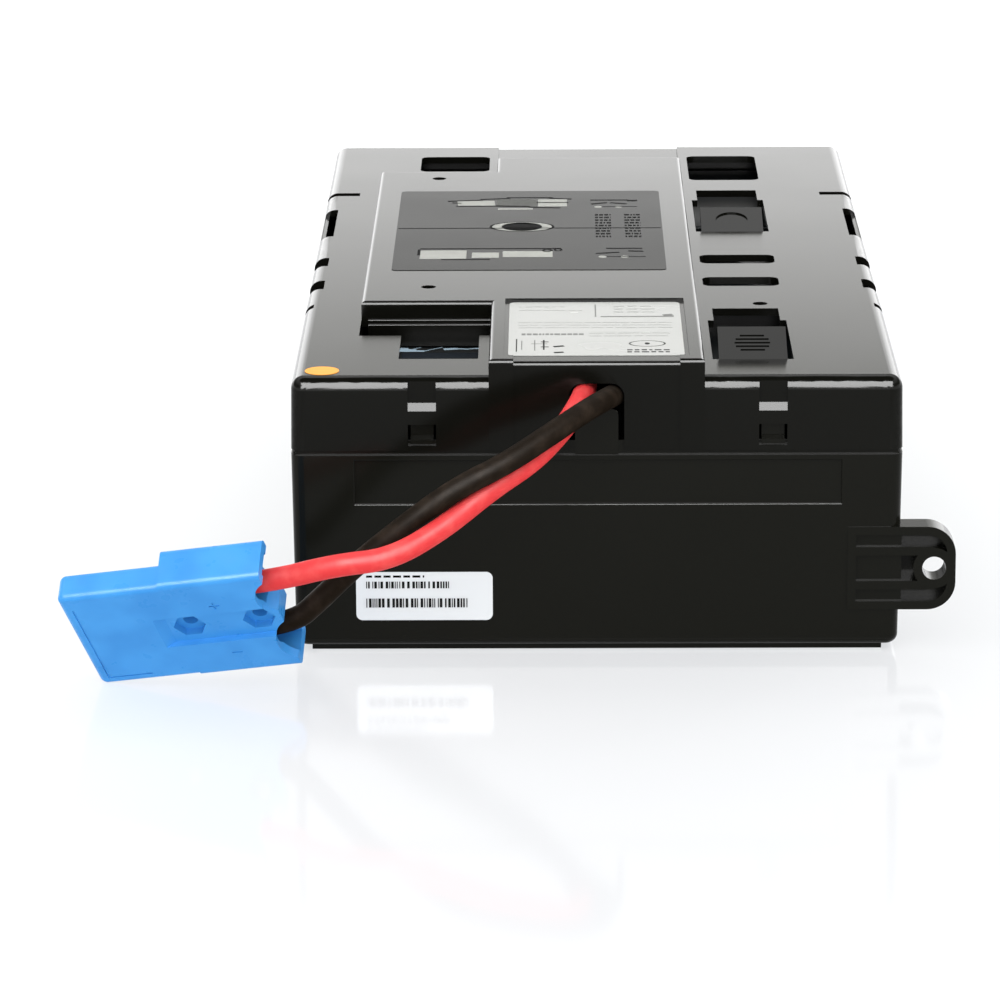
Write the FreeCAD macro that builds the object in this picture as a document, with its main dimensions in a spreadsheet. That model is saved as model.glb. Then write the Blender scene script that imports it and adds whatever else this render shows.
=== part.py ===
import FreeCAD, Part
import math
import os
import re

import Sketcher
from FreeCAD import Placement, Rotation, Vector

# Battery cartridge for an uninterruptible power supply: six sealed lead-acid blocks lie in two
# columns of three inside a two-shell moulded case, and two heavy leads run to a two-pole plug.
#
# Frame: millimetres, +Z up, the foot on Z = 0. X runs across the case from its centre, the lead
# exit faces -Y, and the origin is the middle of the foot's footprint.

# ---------------------------------------------------------------- driving sizes

SIZES = (
    ("battery_length", 90.0, "block, across the case"),
    ("battery_thickness", 70.0, "block, upwards as it lies"),
    ("battery_height", 101.0, "block, along the case, lid included"),
    ("battery_lid", 8.0, "depth of the block's own lid"),
    ("battery_edge", 1.6, "rounding along the block's long edges"),
    ("tab_width", 6.35, "terminal tab"),
    ("tab_thickness", 0.8, "terminal tab"),
    ("tab_length", 7.5, "terminal tab, out of the lid"),
    ("tab_inset", 14.0, "tab from the block's end"),
    ("tab_drop", 12.0, "tab below the block's upper face"),
    ("tab_foot", 1.0, "tab's foot, in height and beyond the tab"),
    ("column_gap", 0.6, "between the two columns"),
    ("row_gap", 0.8, "between the front and middle blocks"),
    ("tab_channel", 18.0, "between the lids of the middle and rear blocks"),
    ("front_bay", 38.8, "wiring room behind the front wall"),
    ("back_clearance", 1.0, "behind the rear blocks"),
    ("side_clearance", 1.0, "beside the blocks, at the rim"),
    ("wall", 2.2, "moulded wall of both shells"),
    ("roof", 2.4, "moulded top of the cover"),
    ("floor_thickness", 2.5, "tray floor"),
    ("foot_height", 2.0, "foot under the tray"),
    ("foot_inset_front", 5.0, "foot from the front and back faces"),
    ("foot_inset_side", 2.6, "foot from the side faces"),
    ("rib_height", 3.8, "floor ribs under the blocks"),
    ("rib_thickness", 1.6, "floor ribs"),
    ("headroom", 6.5, "above the blocks, under the cover"),
    ("plateau_rise", 5.8, "raised part of the cover"),
    ("rim_height", 62.9, "tray rim above the ground"),
    ("seam_gap", 1.6, "open line between tray and cover"),
    ("lip_height", 4.5, "tray lip above its rim"),
    ("rebate", 1.0, "step inside the cover for the lip"),
    ("fit_clearance", 0.15, "between pieces that slide together"),
    ("draft_angle", 0.7, "degrees, all upright walls"),
    ("corner_radius", 4.0, "upright corners of the case"),
    ("top_radius", 4.0, "top edge of the cover"),
    ("base_radius", 3.0, "bottom edge of the tray"),
    ("plateau_radius", 1.3, "edges of the plateau"),
    ("ear_reach", 16.6, "ear beyond the side wall"),
    ("ear_bottom", 13.7, "ear's lower edge above the ground"),
    ("ear_height", 26.3, "ear, upwards"),
    ("ear_thickness", 9.3, "ear, front to back"),
    ("ear_round", 8.7, "outer corners of the ear"),
    ("ear_rim", 2.6, "rim round the ear's pockets"),
    ("ear_rib", 2.7, "ribs across the ear"),
    ("ear_middle", 8.1, "pocket between the ear's ribs"),
    ("ear_web", 3.0, "web behind the ear's pockets"),
    ("ear_boss", 12.8, "boss round the screw hole"),
    ("ear_hole", 7.3, "screw hole"),
    ("ear_hole_reach", 10.0, "hole centre beyond the side wall"),
    ("ear_groove", 14.0, "the ear's grooves across the front wall"),
    ("ear_groove_depth", 1.2, "the grooves in the front wall"),
    ("lead_size", 6.8, "outer diameter of the two leads"),
    ("lead_level", 81.3, "lead axis at the exit above the ground"),
    ("exit_width", 16.8, "lead slot in the cover"),
    ("exit_rise", 4.0, "slot top above the lead axis"),
    ("exit_round", 4.0, "upper corners of the slot"),
    ("tongue_width", 13.2, "tray tongue that closes the slot"),
    ("jumper_size", 4.0, "outer diameter of the jumpers"),
    ("jumper_rise", 2.8, "jumper axis above the blocks"),
    ("receptacle_size", 3.0, "push-on receptacle across the tab"),
    ("receptacle_wall", 1.9, "receptacle beyond the tab's width"),
    ("barrel_length", 6.5, "crimp barrel of a receptacle"),
    ("panel_half", 25.4, "half the sunk panel round the lead slot"),
    ("panel_depth", 0.5, "how far that panel is sunk"),
    ("strip_half", 32.9, "half the plateau's middle strip"),
    ("strip_over", 52.2, "how far that strip reaches over the rear blocks"),
    ("label_half", 28.4, "half the recess for the rating label"),
    ("label_start", 6.0, "recess from the front"),
    ("label_reach", 84.0, "end of the recess from the front"),
    ("label_sink", 0.9, "depth of the recess"),
    ("plateau_left", 74.3, "plateau's left side from the middle"),
    ("plateau_start", 80.0, "plateau's front wall beside the trough"),
    ("plateau_step", 25.0, "plateau's back on the left before the strip's"),
    ("trough_depth", 23.0, "open trough in front of the plateau, front to back"),
    ("notch_left", 61.0, "notch from the middle"),
    ("notch_width", 24.6, "notch"),
    ("notch_depth", 31.5, "notch, from the trough to its front"),
    ("opening_round", 3.0, "corners of the cover's openings"),
    ("ledge", 0.7, "steps down the trough's back wall"),
    ("ledge_drop", 1.4, "height of each step"),
    ("block_play", 0.4, "ribs and low walls to the blocks"),
    ("rib_spread", 30.0, "between the floor ribs under a block"),
    ("window_left", 36.0, "cover openings from the middle"),
    ("window_width", 25.0, "cover openings"),
    ("rear_window_back", 21.7, "rear openings from the case's back"),
    ("rear_window_left", 27.0, "rear left opening, front to back"),
    ("rear_window_right", 43.9, "rear right opening, front to back"),
    ("slot_length", 13.3, "oblong slots, front to back"),
    ("slot_front", 127.0, "first oblong slot from the front"),
    ("slot_step", 34.3, "from that slot to the next"),
    ("pin_hole", 4.8, "small round holes in the cover"),
    ("pin_left", 53.3, "left pin holes from the middle"),
    ("pin_right", 53.6, "right pin hole from the middle"),
    ("pin_front", 101.0, "front pin holes from the front"),
    ("pin_back", 13.0, "rear pin hole from the plateau's back"),
    ("slit_front", 97.0, "short side slit from the front"),
    ("slit_inset", 3.2, "short side slit in from the side wall"),
    ("flap_width", 21.2, "latch flap"),
    ("flap_length", 18.4, "latch flap"),
    ("flap_gap", 53.0, "opening behind the flap's root, wide part"),
    ("flap_tail", 17.0, "opening behind that, as wide as the flap"),
    ("near_flap", 24.0, "root of the near flap from the front"),
    ("far_flap_lead", 31.8, "root of the far flap before the middle blocks' lids"),
    ("near_angle", 20.0, "degrees the near flap rises"),
    ("far_angle", 15.0, "degrees the far flap rises"),
    ("grip_size", 11.0, "round grip on each flap"),
    ("grip_relief", 0.5, "ridges and dimple of the grips"),
    ("side_inset", 5.3, "side notches in from the side wall"),
    ("side_drop", 6.0, "side notches below the cover's top"),
    ("notch_run", 12.6, "side notches, front to back"),
    ("notch_front", 124.0, "first side notch from the front"),
    ("notch_step", 35.0, "from that notch to the next"),
    ("pocket_lead", 37.8, "long side pocket before the middle blocks' lids"),
    ("pocket_rim", 1.0, "edge left outside the long pocket"),
    ("thin_back", 92.0, "thin side notch from the case's back"),
    ("thin_run", 5.0, "thin side notch, front to back"),
    ("thin_inset", 12.0, "thin side notch in from the side wall"),
    ("back_ledge", 1.2, "step down behind the middle strip"),
    ("pocket_run", 44.0, "long side pocket, front to back"),
    ("latch_left", 53.3, "left front snap from the middle"),
    ("latch_right", 53.8, "right front snap from the middle"),
    ("latch_width", 8.6, "front snap channel"),
    ("latch_depth", 1.3, "depth of the channel"),
    ("latch_window", 6.6, "snap window, upwards"),
    ("latch_sill", 1.5, "bar under the snap window"),
    ("ramp_low", 12.3, "foot of the channel's ramp above the cover's edge"),
    ("ramp_rise", 2.4, "ramp, upwards"),
    ("finger_root", 12.0, "tray's snap finger below the rim"),
    ("nib_width", 10.0, "snap nibs at the back"),
    ("nib_offset", 45.0, "those nibs from the middle"),
    ("finger_thickness", 1.3, "tray's snap finger"),
    ("finger_hook", 1.6, "upright face of the finger's hook"),
    ("nib", 0.9, "snap nibs out of the lip"),
    ("recess_side_left", 19.5, "tray's front recess from the left side"),
    ("recess_side_right", 18.7, "tray's front recess from the right side"),
    ("recess_edge", 0.4, "rounding of the recess's edges"),
    ("recess_bottom", 47.5, "lower edge of the recess above the ground"),
    ("recess_height", 13.8, "recess, upwards"),
    ("recess_depth", 1.0, "recess"),
    ("bay_wall_height", 24.0, "low walls that hold the blocks"),
    ("sheet_thickness", 0.15, "paper and film labels"),
    ("rating_width", 54.0, "rating label"),
    ("rating_depth", 73.0, "rating label"),
    ("safety_left", 24.0, "safety label's right edge from the middle"),
    ("safety_width", 90.0, "safety label"),
    ("safety_depth", 127.5, "safety label"),
    ("safety_front", 125.5, "safety label from the front"),
    ("code_width", 42.0, "bar code label"),
    ("code_height", 15.4, "bar code label"),
    ("code_side", 19.5, "bar code label from the left side"),
    ("code_bottom", 10.5, "bar code label above the ground"),
    ("label_round", 2.0, "corners of the labels"),
    ("dot_size", 10.5, "round marker"),
    ("dot_side", 9.5, "marker from the left side"),
    ("dot_front", 10.0, "marker from the front"),
    ("foam_width", 20.0, "foam pads"),
    ("foam_length", 40.0, "foam pads"),
    ("foam_offset", 18.0, "foam pads from the middle"),
    ("foam_start", 38.0, "foam pads of the front blocks behind their lids"),
    ("plug_length", 63.3, "plug body"),
    ("plug_width", 45.8, "plug body"),
    ("plug_thickness", 14.1, "plug body at the leads"),
    ("plug_nose", 31.6, "thinner mating half of the plug"),
    ("nose_thickness", 9.4, "mating half"),
    ("plug_edge", 1.9, "rounding along the plug"),
    ("nose_inset", 0.6, "mating half's sides within the plug's"),
    ("nose_corner", 2.4, "corners of the mating end"),
    ("plug_heading", -11.4, "degrees, plug about the upright axis"),
    ("plug_rise", 9.3, "degrees, plug's lead end above its mating end"),
    ("plug_lean", 51.6, "degrees, plug's broad face from level"),
    ("plug_corner_left", 150.2, "plug's corner on the ground from the middle"),
    ("plug_corner_front", 29.9, "that corner in front of the case"),
    ("plug_pole", 21.8, "between the two poles"),
    ("plug_bore", 10.4, "lead bores"),
    ("plug_wall", 3.0, "plug's side walls"),
    ("plug_groove", 14.0, "groove between the poles"),
    ("plug_groove_depth", 2.0, "that groove"),
    ("plug_groove_start", 25.5, "that groove from the mating end"),
    ("plug_groove_slope", 35.0, "degrees, that groove's walls"),
    ("plug_screw", 4.5, "screw holes"),
    ("plug_nut", 8.8, "nut pockets across flats"),
    ("plug_nut_depth", 2.4, "nut pockets"),
    ("plug_screw_start", 34.8, "first screw from the mating end"),
    ("plug_screw_step", 21.7, "to the second screw"),
    ("mouth_width", 13.0, "mating mouths"),
    ("mouth_height", 5.2, "mating mouths"),
    ("mouth_floor", 2.0, "plug's wall under the mouths"),
    ("mouth_depth", 23.0, "mating mouths"),
    ("bore_start", 33.0, "lead bores from the mating end"),
    ("mark_size", 3.2, "plus and minus marks on the plug"),
    ("mark_line", 0.6, "lines of the plug's marks"),
    ("mark_depth", 0.3, "engraving of the plug's marks"),
    ("mark_start", 46.0, "plus and minus from the mating end"),
    ("corner_line", 14.0, "engraved corner line, along the plug"),
    ("corner_line_inset", 3.2, "engraved corner line from the plug's edges"),
    ("contact_width", 9.0, "contact blades"),
    ("contact_thickness", 2.0, "contact blades"),
    ("contact_length", 19.0, "contact blades"),
    ("crimp_size", 8.4, "crimp barrels"),
    ("crimp_length", 14.0, "crimp barrels"),
    ("spring_thickness", 0.5, "leaf springs"),
)

# Worked out from the sizes above, in the sheet itself.
DERIVED = (
    ("width", "=2 * battery_length + column_gap + 2 * side_clearance + 2 * wall"),
    ("rows_depth", "=3 * battery_height + row_gap + tab_channel"),
    ("depth", "=rows_depth + front_bay + back_clearance + 2 * wall"),
    ("face", "=-depth / 2"),
    ("tray_floor", "=foot_height + floor_thickness"),
    ("block_base", "=tray_floor + rib_height"),
    ("block_top", "=block_base + battery_thickness"),
    ("roof_under", "=block_top + headroom"),
    ("roof_top", "=roof_under + roof"),
    ("plateau_under", "=roof_under + plateau_rise"),
    ("plateau_top", "=roof_top + plateau_rise"),
    ("cover_base", "=rim_height + seam_gap"),
    ("column_offset", "=(battery_length + column_gap) / 2"),
    ("tab_offset", "=battery_length / 2 - tab_inset"),
    ("tab_level", "=block_top - tab_drop"),
    ("front_lid", "=face + wall + front_bay"),
    ("middle_base", "=front_lid + battery_height + row_gap"),
    ("middle_lid", "=middle_base + battery_height"),
    ("rear_lid", "=middle_lid + tab_channel"),
    ("strip_reach", "=rear_lid - face + strip_over"),
    ("plateau_end", "=strip_reach - plateau_step"),
    ("rear_window_reach", "=depth - rear_window_back"),
    ("far_flap", "=middle_lid - face - far_flap_lead"),
    ("pocket_front", "=middle_lid - face - pocket_lead"),
    ("thin_front", "=depth - thin_back"),
    ("recess_left", "=width / 2 - recess_side_left"),
    ("recess_right", "=width / 2 - recess_side_right"),
    ("code_left", "=width / 2 - code_side"),
    ("dot_left", "=width / 2 - dot_side"),
)

doc = FreeCAD.newDocument("battery_cartridge")
sheet = doc.addObject("Spreadsheet::Sheet", "Sizes")
for row, (alias, amount, note) in enumerate(SIZES, start=1):
    sheet.set(f"A{row}", str(amount))
    sheet.setAlias(f"A{row}", alias)
    sheet.set(f"B{row}", note)
for row, (alias, formula) in enumerate(DERIVED, start=len(SIZES) + 2):
    sheet.set(f"A{row}", formula)
    sheet.setAlias(f"A{row}", alias)
doc.recompute()

ALIASES = {entry[0] for entry in SIZES + DERIVED}


def bind(text):
    """The text with every size name turned into a reference to the sheet."""
    return re.sub(r"[a-z_]+", lambda m: "Sizes." + m[0] if m[0] in ALIASES else m[0], str(text))


def number(text):
    """The present value of such a text."""
    result = sheet.evalExpression(bind(text))
    return float(getattr(result, "Value", result))


# ---------------------------------------------------------------- modelling helpers


def new_body(label):
    body = doc.addObject("PartDesign::Body", label)
    body.Label = label
    return body


def origin_plane(body, role):
    return next(f for f in body.Origin.OriginFeatures if f.Role == role)


def new_sketch(body, name, plane, level, tilt=None):
    """An empty sketch on an origin plane, moved out along its normal by a bound level.

    With a tilt, given as a place and an angle, it also turns about the plane's own X axis.
    """
    sketch = body.newObject("Sketcher::SketchObject", name)
    sketch.AttachmentSupport = (origin_plane(body, plane), [""])
    sketch.MapMode = "FlatFace"
    if tilt:
        across, angle = tilt
        turn = Rotation(Vector(1, 0, 0), number(angle))
        sketch.AttachmentOffset = Placement(Vector(0, number(across), number(level)), turn)
        sketch.setExpression("AttachmentOffset.Base.y", bind(across))
    sketch.setExpression("AttachmentOffset.Base.z", bind(level))
    return sketch


def hold(sketch, kind, index, end, text):
    """Hold one coordinate of a point of the sketch at a bound distance from its origin."""
    place = sketch.addConstraint(Sketcher.Constraint(kind, -1, 1, index, end, number(text)))
    sketch.setExpression(f"Constraints[{place}]", bind(text))


def add_polygon(sketch, corners):
    first = sketch.GeometryCount
    points = [Vector(number(x), number(y), 0) for x, y in corners]
    count = len(points)
    for start, end in zip(points, points[1:] + points[:1]):
        sketch.addGeometry(Part.LineSegment(start, end), False)
    for step in range(count):
        following = first + (step + 1) % count
        sketch.addConstraint(Sketcher.Constraint("Coincident", first + step, 2, following, 1))
    for step, (x, y) in enumerate(corners):
        hold(sketch, "DistanceX", first + step, 1, x)
        hold(sketch, "DistanceY", first + step, 1, y)


def add_circle(sketch, x, y, diameter):
    centre = Vector(number(x), number(y), 0)
    index = sketch.addGeometry(Part.Circle(centre, Vector(0, 0, 1), number(diameter) / 2), False)
    hold(sketch, "DistanceX", index, 3, x)
    hold(sketch, "DistanceY", index, 3, y)
    place = sketch.addConstraint(Sketcher.Constraint("Diameter", index, number(diameter)))
    sketch.setExpression(f"Constraints[{place}]", bind(diameter))


def rectangle(left, right, low, high):
    return ((left, low), (right, low), (right, high), (left, high))


def grow(body, sketch, length, reverse=False, draft=None):
    return extrude(body, "PartDesign::Pad", sketch, length, reverse, draft)


def cut(body, sketch, length, reverse=False, draft=None):
    return extrude(body, "PartDesign::Pocket", sketch, length, reverse, draft)


def extrude(body, kind, sketch, length, reverse, draft):
    feature = body.newObject(kind, sketch.Name + "_" + kind.split("::")[1].lower())
    feature.Profile = sketch
    feature.setExpression("Length", bind(length))
    feature.Reversed = reverse
    if draft:
        feature.setExpression("TaperAngle", bind(draft))
    doc.recompute()
    body.Tip = feature
    check_step(body, feature, kind.endswith("Pad"))
    return feature


def check_step(body, feature, adds):
    """A pad has to add to the body, a pocket has to take away, and one solid has to be left."""
    before = feature.BaseFeature.Shape.Volume if feature.BaseFeature else 0
    change = feature.Shape.Volume - before
    if len(feature.Shape.Solids) != 1 or (change <= 0 if adds else change >= 0):
        raise RuntimeError(f"{body.Label}: {feature.Name} changes the volume by {change:.1f}")


def round_edges(body, radius, wanted, kind="PartDesign::Fillet"):
    """Round the edges of the body whose middle and direction the test accepts."""
    before = body.Tip
    names = []
    for place, edge in enumerate(before.Shape.Edges, start=1):
        middle = edge.valueAt((edge.FirstParameter + edge.LastParameter) / 2)
        along = edge.valueAt(edge.LastParameter) - edge.valueAt(edge.FirstParameter)
        if wanted(middle, along):
            names.append(f"Edge{place}")
    if not names:
        raise RuntimeError(f"{body.Label}: no edge to round")
    feature = body.newObject(kind, before.Name + "_round")
    feature.Base = (before, names)
    feature.setExpression("Radius" if kind.endswith("Fillet") else "Size", bind(radius))
    doc.recompute()
    body.Tip = feature
    return feature


def is_upright(along):
    return abs(along.z) > 0.9 * along.Length > 0


def at(value, target, slack=0.05):
    return abs(value - target) < slack


# ---------------------------------------------------------------- tray


def bottom_tray():
    """The lower shell: foot, drafted walls, floor ribs, lip, snaps, lead tongue and screw ear."""
    body = new_body("bottom_tray")
    inner_x, inner_y = "width / 2 - wall", "depth / 2 - wall"
    shell = new_sketch(body, "tray_outline", "XY_Plane", "rim_height")
    add_polygon(shell, rectangle("-width / 2", "width / 2", "-depth / 2", "depth / 2"))
    grow(body, shell, "rim_height - foot_height", reverse=True, draft="-draft_angle")
    round_edges(body, "corner_radius", lambda middle, along: is_upright(along))
    underside = number("foot_height")
    round_edges(body, "base_radius", lambda middle, along: at(middle.z, underside))

    foot = new_sketch(body, "foot_outline", "XY_Plane", "foot_height + wall")
    foot_x, foot_y = "width / 2 - foot_inset_side - base_radius", "depth / 2 - foot_inset_front"
    add_polygon(foot, rectangle(f"-({foot_x})", foot_x, f"-({foot_y})", foot_y))
    grow(body, foot, "foot_height + wall", reverse=True)

    tray_ear(body)
    room = new_sketch(body, "tray_room", "XY_Plane", "rim_height")
    add_polygon(room, rectangle(f"-({inner_x})", inner_x, f"-({inner_y})", inner_y))
    cut(body, room, "rim_height - tray_floor", draft="-draft_angle")

    lip = new_sketch(body, "lip_outline", "XY_Plane", "rim_height")
    lip_x, lip_y = (f"{side} / 2 - wall + rebate - fit_clearance" for side in ("width", "depth"))
    add_polygon(lip, rectangle(f"-({lip_x})", lip_x, f"-({lip_y})", lip_y))
    add_polygon(lip, rectangle(f"-({inner_x})", inner_x, f"-({inner_y})", inner_y))
    grow(body, lip, "lip_height")

    tray_ribs(body)
    tray_recess(body)
    tray_fingers(body)
    tray_tongue(body)
    return body


def ear_sketch(body, name):
    """A sketch in the plane of the case's front face, X across and Y upwards."""
    return new_sketch(body, name, "XZ_Plane", "depth / 2")


def tray_ear(body):
    """Screw ear beside the front: a rim, two ribs and a boss in front of a thin web."""
    middle_level = "ear_bottom + ear_height / 2"
    tip = "width / 2 + ear_reach"
    hole_x = "width / 2 + ear_hole_reach"
    plate = ear_sketch(body, "ear_outline")
    root = "width / 2 - ear_groove - ear_rim"
    add_polygon(plate, rectangle(root, tip, "ear_bottom", "ear_bottom + ear_height"))
    grow(body, plate, "ear_thickness", reverse=True)
    tip_x = number(tip)
    round_edges(body, "ear_round", lambda middle, along: at(middle.x, tip_x) and at(along.x, 0)
                and at(along.z, 0))

    low, high = "ear_bottom + ear_rim", "ear_bottom + ear_height - ear_rim"
    pocket = ear_sketch(body, "ear_pocket")
    add_polygon(pocket, rectangle("width / 2", "width / 2 + ear_reach - ear_rim", low, high))
    cut(body, pocket, "ear_thickness - ear_web")
    inside_x = number("width / 2 + ear_reach - ear_rim")
    round_edges(body, "ear_round - ear_rim", lambda middle, along: at(middle.x, inside_x)
                and at(along.x, 0) and at(along.z, 0))

    groove = ear_sketch(body, "ear_grooves")
    for bottom, top in ((low, f"{middle_level} - ear_middle / 2 - ear_rib"),
                        (f"{middle_level} - ear_middle / 2", f"{middle_level} + ear_middle / 2"),
                        (f"{middle_level} + ear_middle / 2 + ear_rib", high)):
        add_polygon(groove, rectangle("width / 2 - ear_groove", "width / 2", bottom, top))
    cut(body, groove, "ear_groove_depth")

    ribs = ear_sketch(body, "ear_ribs")
    for bottom in (f"{middle_level} - ear_middle / 2 - ear_rib", f"{middle_level} + ear_middle / 2"):
        add_polygon(ribs, rectangle("width / 2 - wall", hole_x, bottom, f"{bottom} + ear_rib"))
    grow(body, ribs, "ear_thickness", reverse=True)
    boss = ear_sketch(body, "ear_boss_outline")
    add_circle(boss, hole_x, middle_level, "ear_boss")
    grow(body, boss, "ear_thickness", reverse=True)
    hole = ear_sketch(body, "ear_hole_outline")
    add_circle(hole, hole_x, middle_level, "ear_hole")
    cut(body, hole, "ear_thickness")


def tray_ribs(body):
    """Ribs that lift the blocks off the floor, and low walls that hold them along the case."""
    inner_x, inner_y = "width / 2 - wall - side_clearance", "depth / 2 - wall - back_clearance"
    ribs = new_sketch(body, "floor_ribs", "XY_Plane", "tray_floor")
    for column in (-1, 1):
        for step in (-1, 0, 1):
            middle = f"{column} * column_offset + {step} * rib_spread"
            add_polygon(ribs, rectangle(f"{middle} - rib_thickness / 2",
                                        f"{middle} + rib_thickness / 2",
                                        f"-({inner_y})", inner_y))
    grow(body, ribs, "rib_height")
    walls = new_sketch(body, "block_walls", "XY_Plane", "tray_floor")
    for near in ("front_lid - block_play - rib_thickness", "middle_lid + block_play",
                 "rear_lid - block_play - rib_thickness"):
        add_polygon(walls, rectangle(f"-({inner_x})", inner_x, near, f"{near} + rib_thickness"))
    grow(body, walls, "bay_wall_height")


def tray_recess(body):
    """Shallow sunk panel below the seam."""
    panel = new_sketch(body, "front_recess", "XZ_Plane", "depth / 2")
    add_polygon(panel, rectangle("-recess_left", "recess_right", "recess_bottom",
                                 "recess_bottom + recess_height"))
    cut(body, panel, "recess_depth")
    sides = [number(x) for x in ("-recess_left", "recess_right")]
    ends = [number(z) for z in ("recess_bottom", "recess_bottom + recess_height")]
    sunk = number("face + recess_depth / 2")

    def outline(middle, along):
        upright = any(at(middle.x, x) for x in sides) and at(along.x, 0)
        level = any(at(middle.z, z) for z in ends) and at(along.z, 0) and at(along.y, 0)
        return middle.y < sunk and (upright or level)

    round_edges(body, "recess_edge", outline)


def tray_fingers(body):
    """Snap fingers behind the front wall, and nibs on the lip at the back."""
    sill = "cover_base + latch_sill"
    inside = "face + wall + fit_clearance"
    for name, middle in (("left", "-latch_left"), ("right", "latch_right")):
        width = "(latch_width - rib_thickness)"
        side = new_sketch(body, f"{name}_finger", "YZ_Plane", f"{middle} - {width} / 2")
        add_polygon(side, (
            ("face + wall / 2 + rebate / 2", "rim_height - finger_root"),
            (f"{inside} + finger_thickness", "rim_height - finger_root / 2"),
            (f"{inside} + finger_thickness", f"{sill} + latch_window"),
            (inside, f"{sill} + latch_window"),
            (inside, f"{sill} + finger_hook + finger_thickness"),
            (f"{inside} - finger_thickness", f"{sill} + finger_hook"),
            (f"{inside} - finger_thickness", f"{sill} + 2 * fit_clearance"),
            ("face + wall / 2 + rebate / 2", f"{sill} + 2 * fit_clearance"),
        ))
        grow(body, side, width)
    nibs = new_sketch(body, "back_nibs", "XZ_Plane", "-(depth / 2 - wall + rebate / 2)")
    for side in (-1, 1):
        middle = f"{side} * nib_offset"
        add_polygon(nibs, rectangle(f"{middle} - nib_width / 2", f"{middle} + nib_width / 2",
                                    f"{sill} + 2 * fit_clearance", "rim_height + lip_height"))
    grow(body, nibs, "rebate / 2 - fit_clearance + nib", reverse=True)


def tray_tongue(body):
    """Tongue that closes the lead slot from below, up to the leads."""
    top = "lead_level - lead_size / 2 - 4 * fit_clearance"
    tongue = new_sketch(body, "lead_tongue", "XZ_Plane", "depth / 2 - panel_depth")
    add_polygon(tongue, rectangle("-tongue_width / 2", "tongue_width / 2", "rim_height - wall", top))
    grow(body, tongue, "wall - panel_depth", reverse=True)
    top_z, half = number(top), number("tongue_width / 2")
    round_edges(body, "exit_round / 2", lambda middle, along: at(middle.z, top_z)
                and at(abs(middle.x), half) and at(along.x, 0))


# ---------------------------------------------------------------- cover


def plateau_corners(inset):
    """Plan of the raised part, moved inwards by a wall or by nothing."""
    left, strip = f"-(plateau_left - {inset})", f"strip_half - {inset}"
    near, far = f"face + plateau_start + {inset}", f"face + plateau_end - {inset}"
    end = f"face + strip_reach - {inset}"
    return ((left, near), (f"-({strip})", near), (f"-({strip})", f"face + {inset}"),
            (strip, f"face + {inset}"), (strip, end), (f"-({strip})", end),
            (f"-({strip})", far), (left, far))


def top_cover():
    """The upper shell: plateau, lead panel, openings, latch flaps and snap channels."""
    body = new_body("top_cover")
    shell = new_sketch(body, "cover_outline", "XY_Plane", "cover_base")
    add_polygon(shell, rectangle("-width / 2", "width / 2", "-depth / 2", "depth / 2"))
    grow(body, shell, "roof_top - cover_base", draft="-draft_angle")
    round_edges(body, "corner_radius", lambda middle, along: is_upright(along))
    roof = number("roof_top")
    round_edges(body, "top_radius", lambda middle, along: at(middle.z, roof))
    cover_plateau(body)

    room = new_sketch(body, "cover_room", "XY_Plane", "cover_base")
    inner_x, inner_y = "width / 2 - wall", "depth / 2 - wall"
    add_polygon(room, rectangle(f"-({inner_x})", inner_x, f"-({inner_y})", inner_y))
    cut(body, room, "roof_under - cover_base", reverse=True)
    upper = new_sketch(body, "plateau_room", "XY_Plane", "cover_base")
    add_polygon(upper, plateau_corners("wall"))
    cut(body, upper, "plateau_under - cover_base", reverse=True)
    rebate = new_sketch(body, "cover_rebate", "XY_Plane", "cover_base")
    step_x, step_y = "width / 2 - wall + rebate", "depth / 2 - wall + rebate"
    add_polygon(rebate, rectangle(f"-({step_x})", step_x, f"-({step_y})", step_y))
    cut(body, rebate, "lip_height - seam_gap + 2 * fit_clearance", reverse=True)

    cover_exit(body)
    cover_openings(body)
    cover_trough_wall(body)
    cover_side_notches(body)
    cover_channels(body)
    latch_flap(body, "near", "near_flap", "near_angle")
    latch_flap(body, "far", "far_flap", "far_angle")
    return body


def cover_plateau(body):
    """Raised part with the front block, the sunk lead panel and the label recess."""
    plan = new_sketch(body, "plateau_outline", "XY_Plane", "roof_under")
    add_polygon(plan, plateau_corners("0"))
    grow(body, plan, "plateau_top - roof_under")
    block = new_sketch(body, "block_outline", "XY_Plane", "cover_base")
    add_polygon(block, rectangle("-strip_half", "strip_half", "face", "face + wall + top_radius"))
    grow(body, block, "plateau_top - cover_base")
    panel = new_sketch(body, "panel_outline", "XZ_Plane", "depth / 2")
    add_polygon(panel, rectangle("-panel_half", "panel_half", "cover_base", "plateau_top"))
    cut(body, panel, "panel_depth")
    label = new_sketch(body, "label_recess", "XY_Plane", "plateau_top")
    add_polygon(label, (("-panel_half", "face"), ("panel_half", "face"),
                        ("panel_half", "face + label_start"), ("label_half", "face + label_start"),
                        ("label_half", "face + label_reach"), ("-label_half", "face + label_reach"),
                        ("-label_half", "face + label_start"), ("-panel_half", "face + label_start")))
    cut(body, label, "label_sink")
    top, sunk = number("plateau_top"), number("plateau_top - label_sink")
    sides = [number(x) for x in ("-plateau_left", "-strip_half", "strip_half")]
    ends = [number(y) for y in ("face", "face + plateau_start", "face + plateau_end",
                                "face + strip_reach")]
    lip = number("face + panel_depth")

    def outer(middle, along):
        on_side = at(along.x, 0) and any(at(middle.x, x) for x in sides)
        on_end = at(along.y, 0) and any(at(middle.y, y) for y in ends)
        return (at(middle.z, top) and (on_side or on_end)) or (
            at(middle.z, sunk) and at(middle.y, lip) and at(along.y, 0))

    round_edges(body, "plateau_radius", outer)


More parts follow.
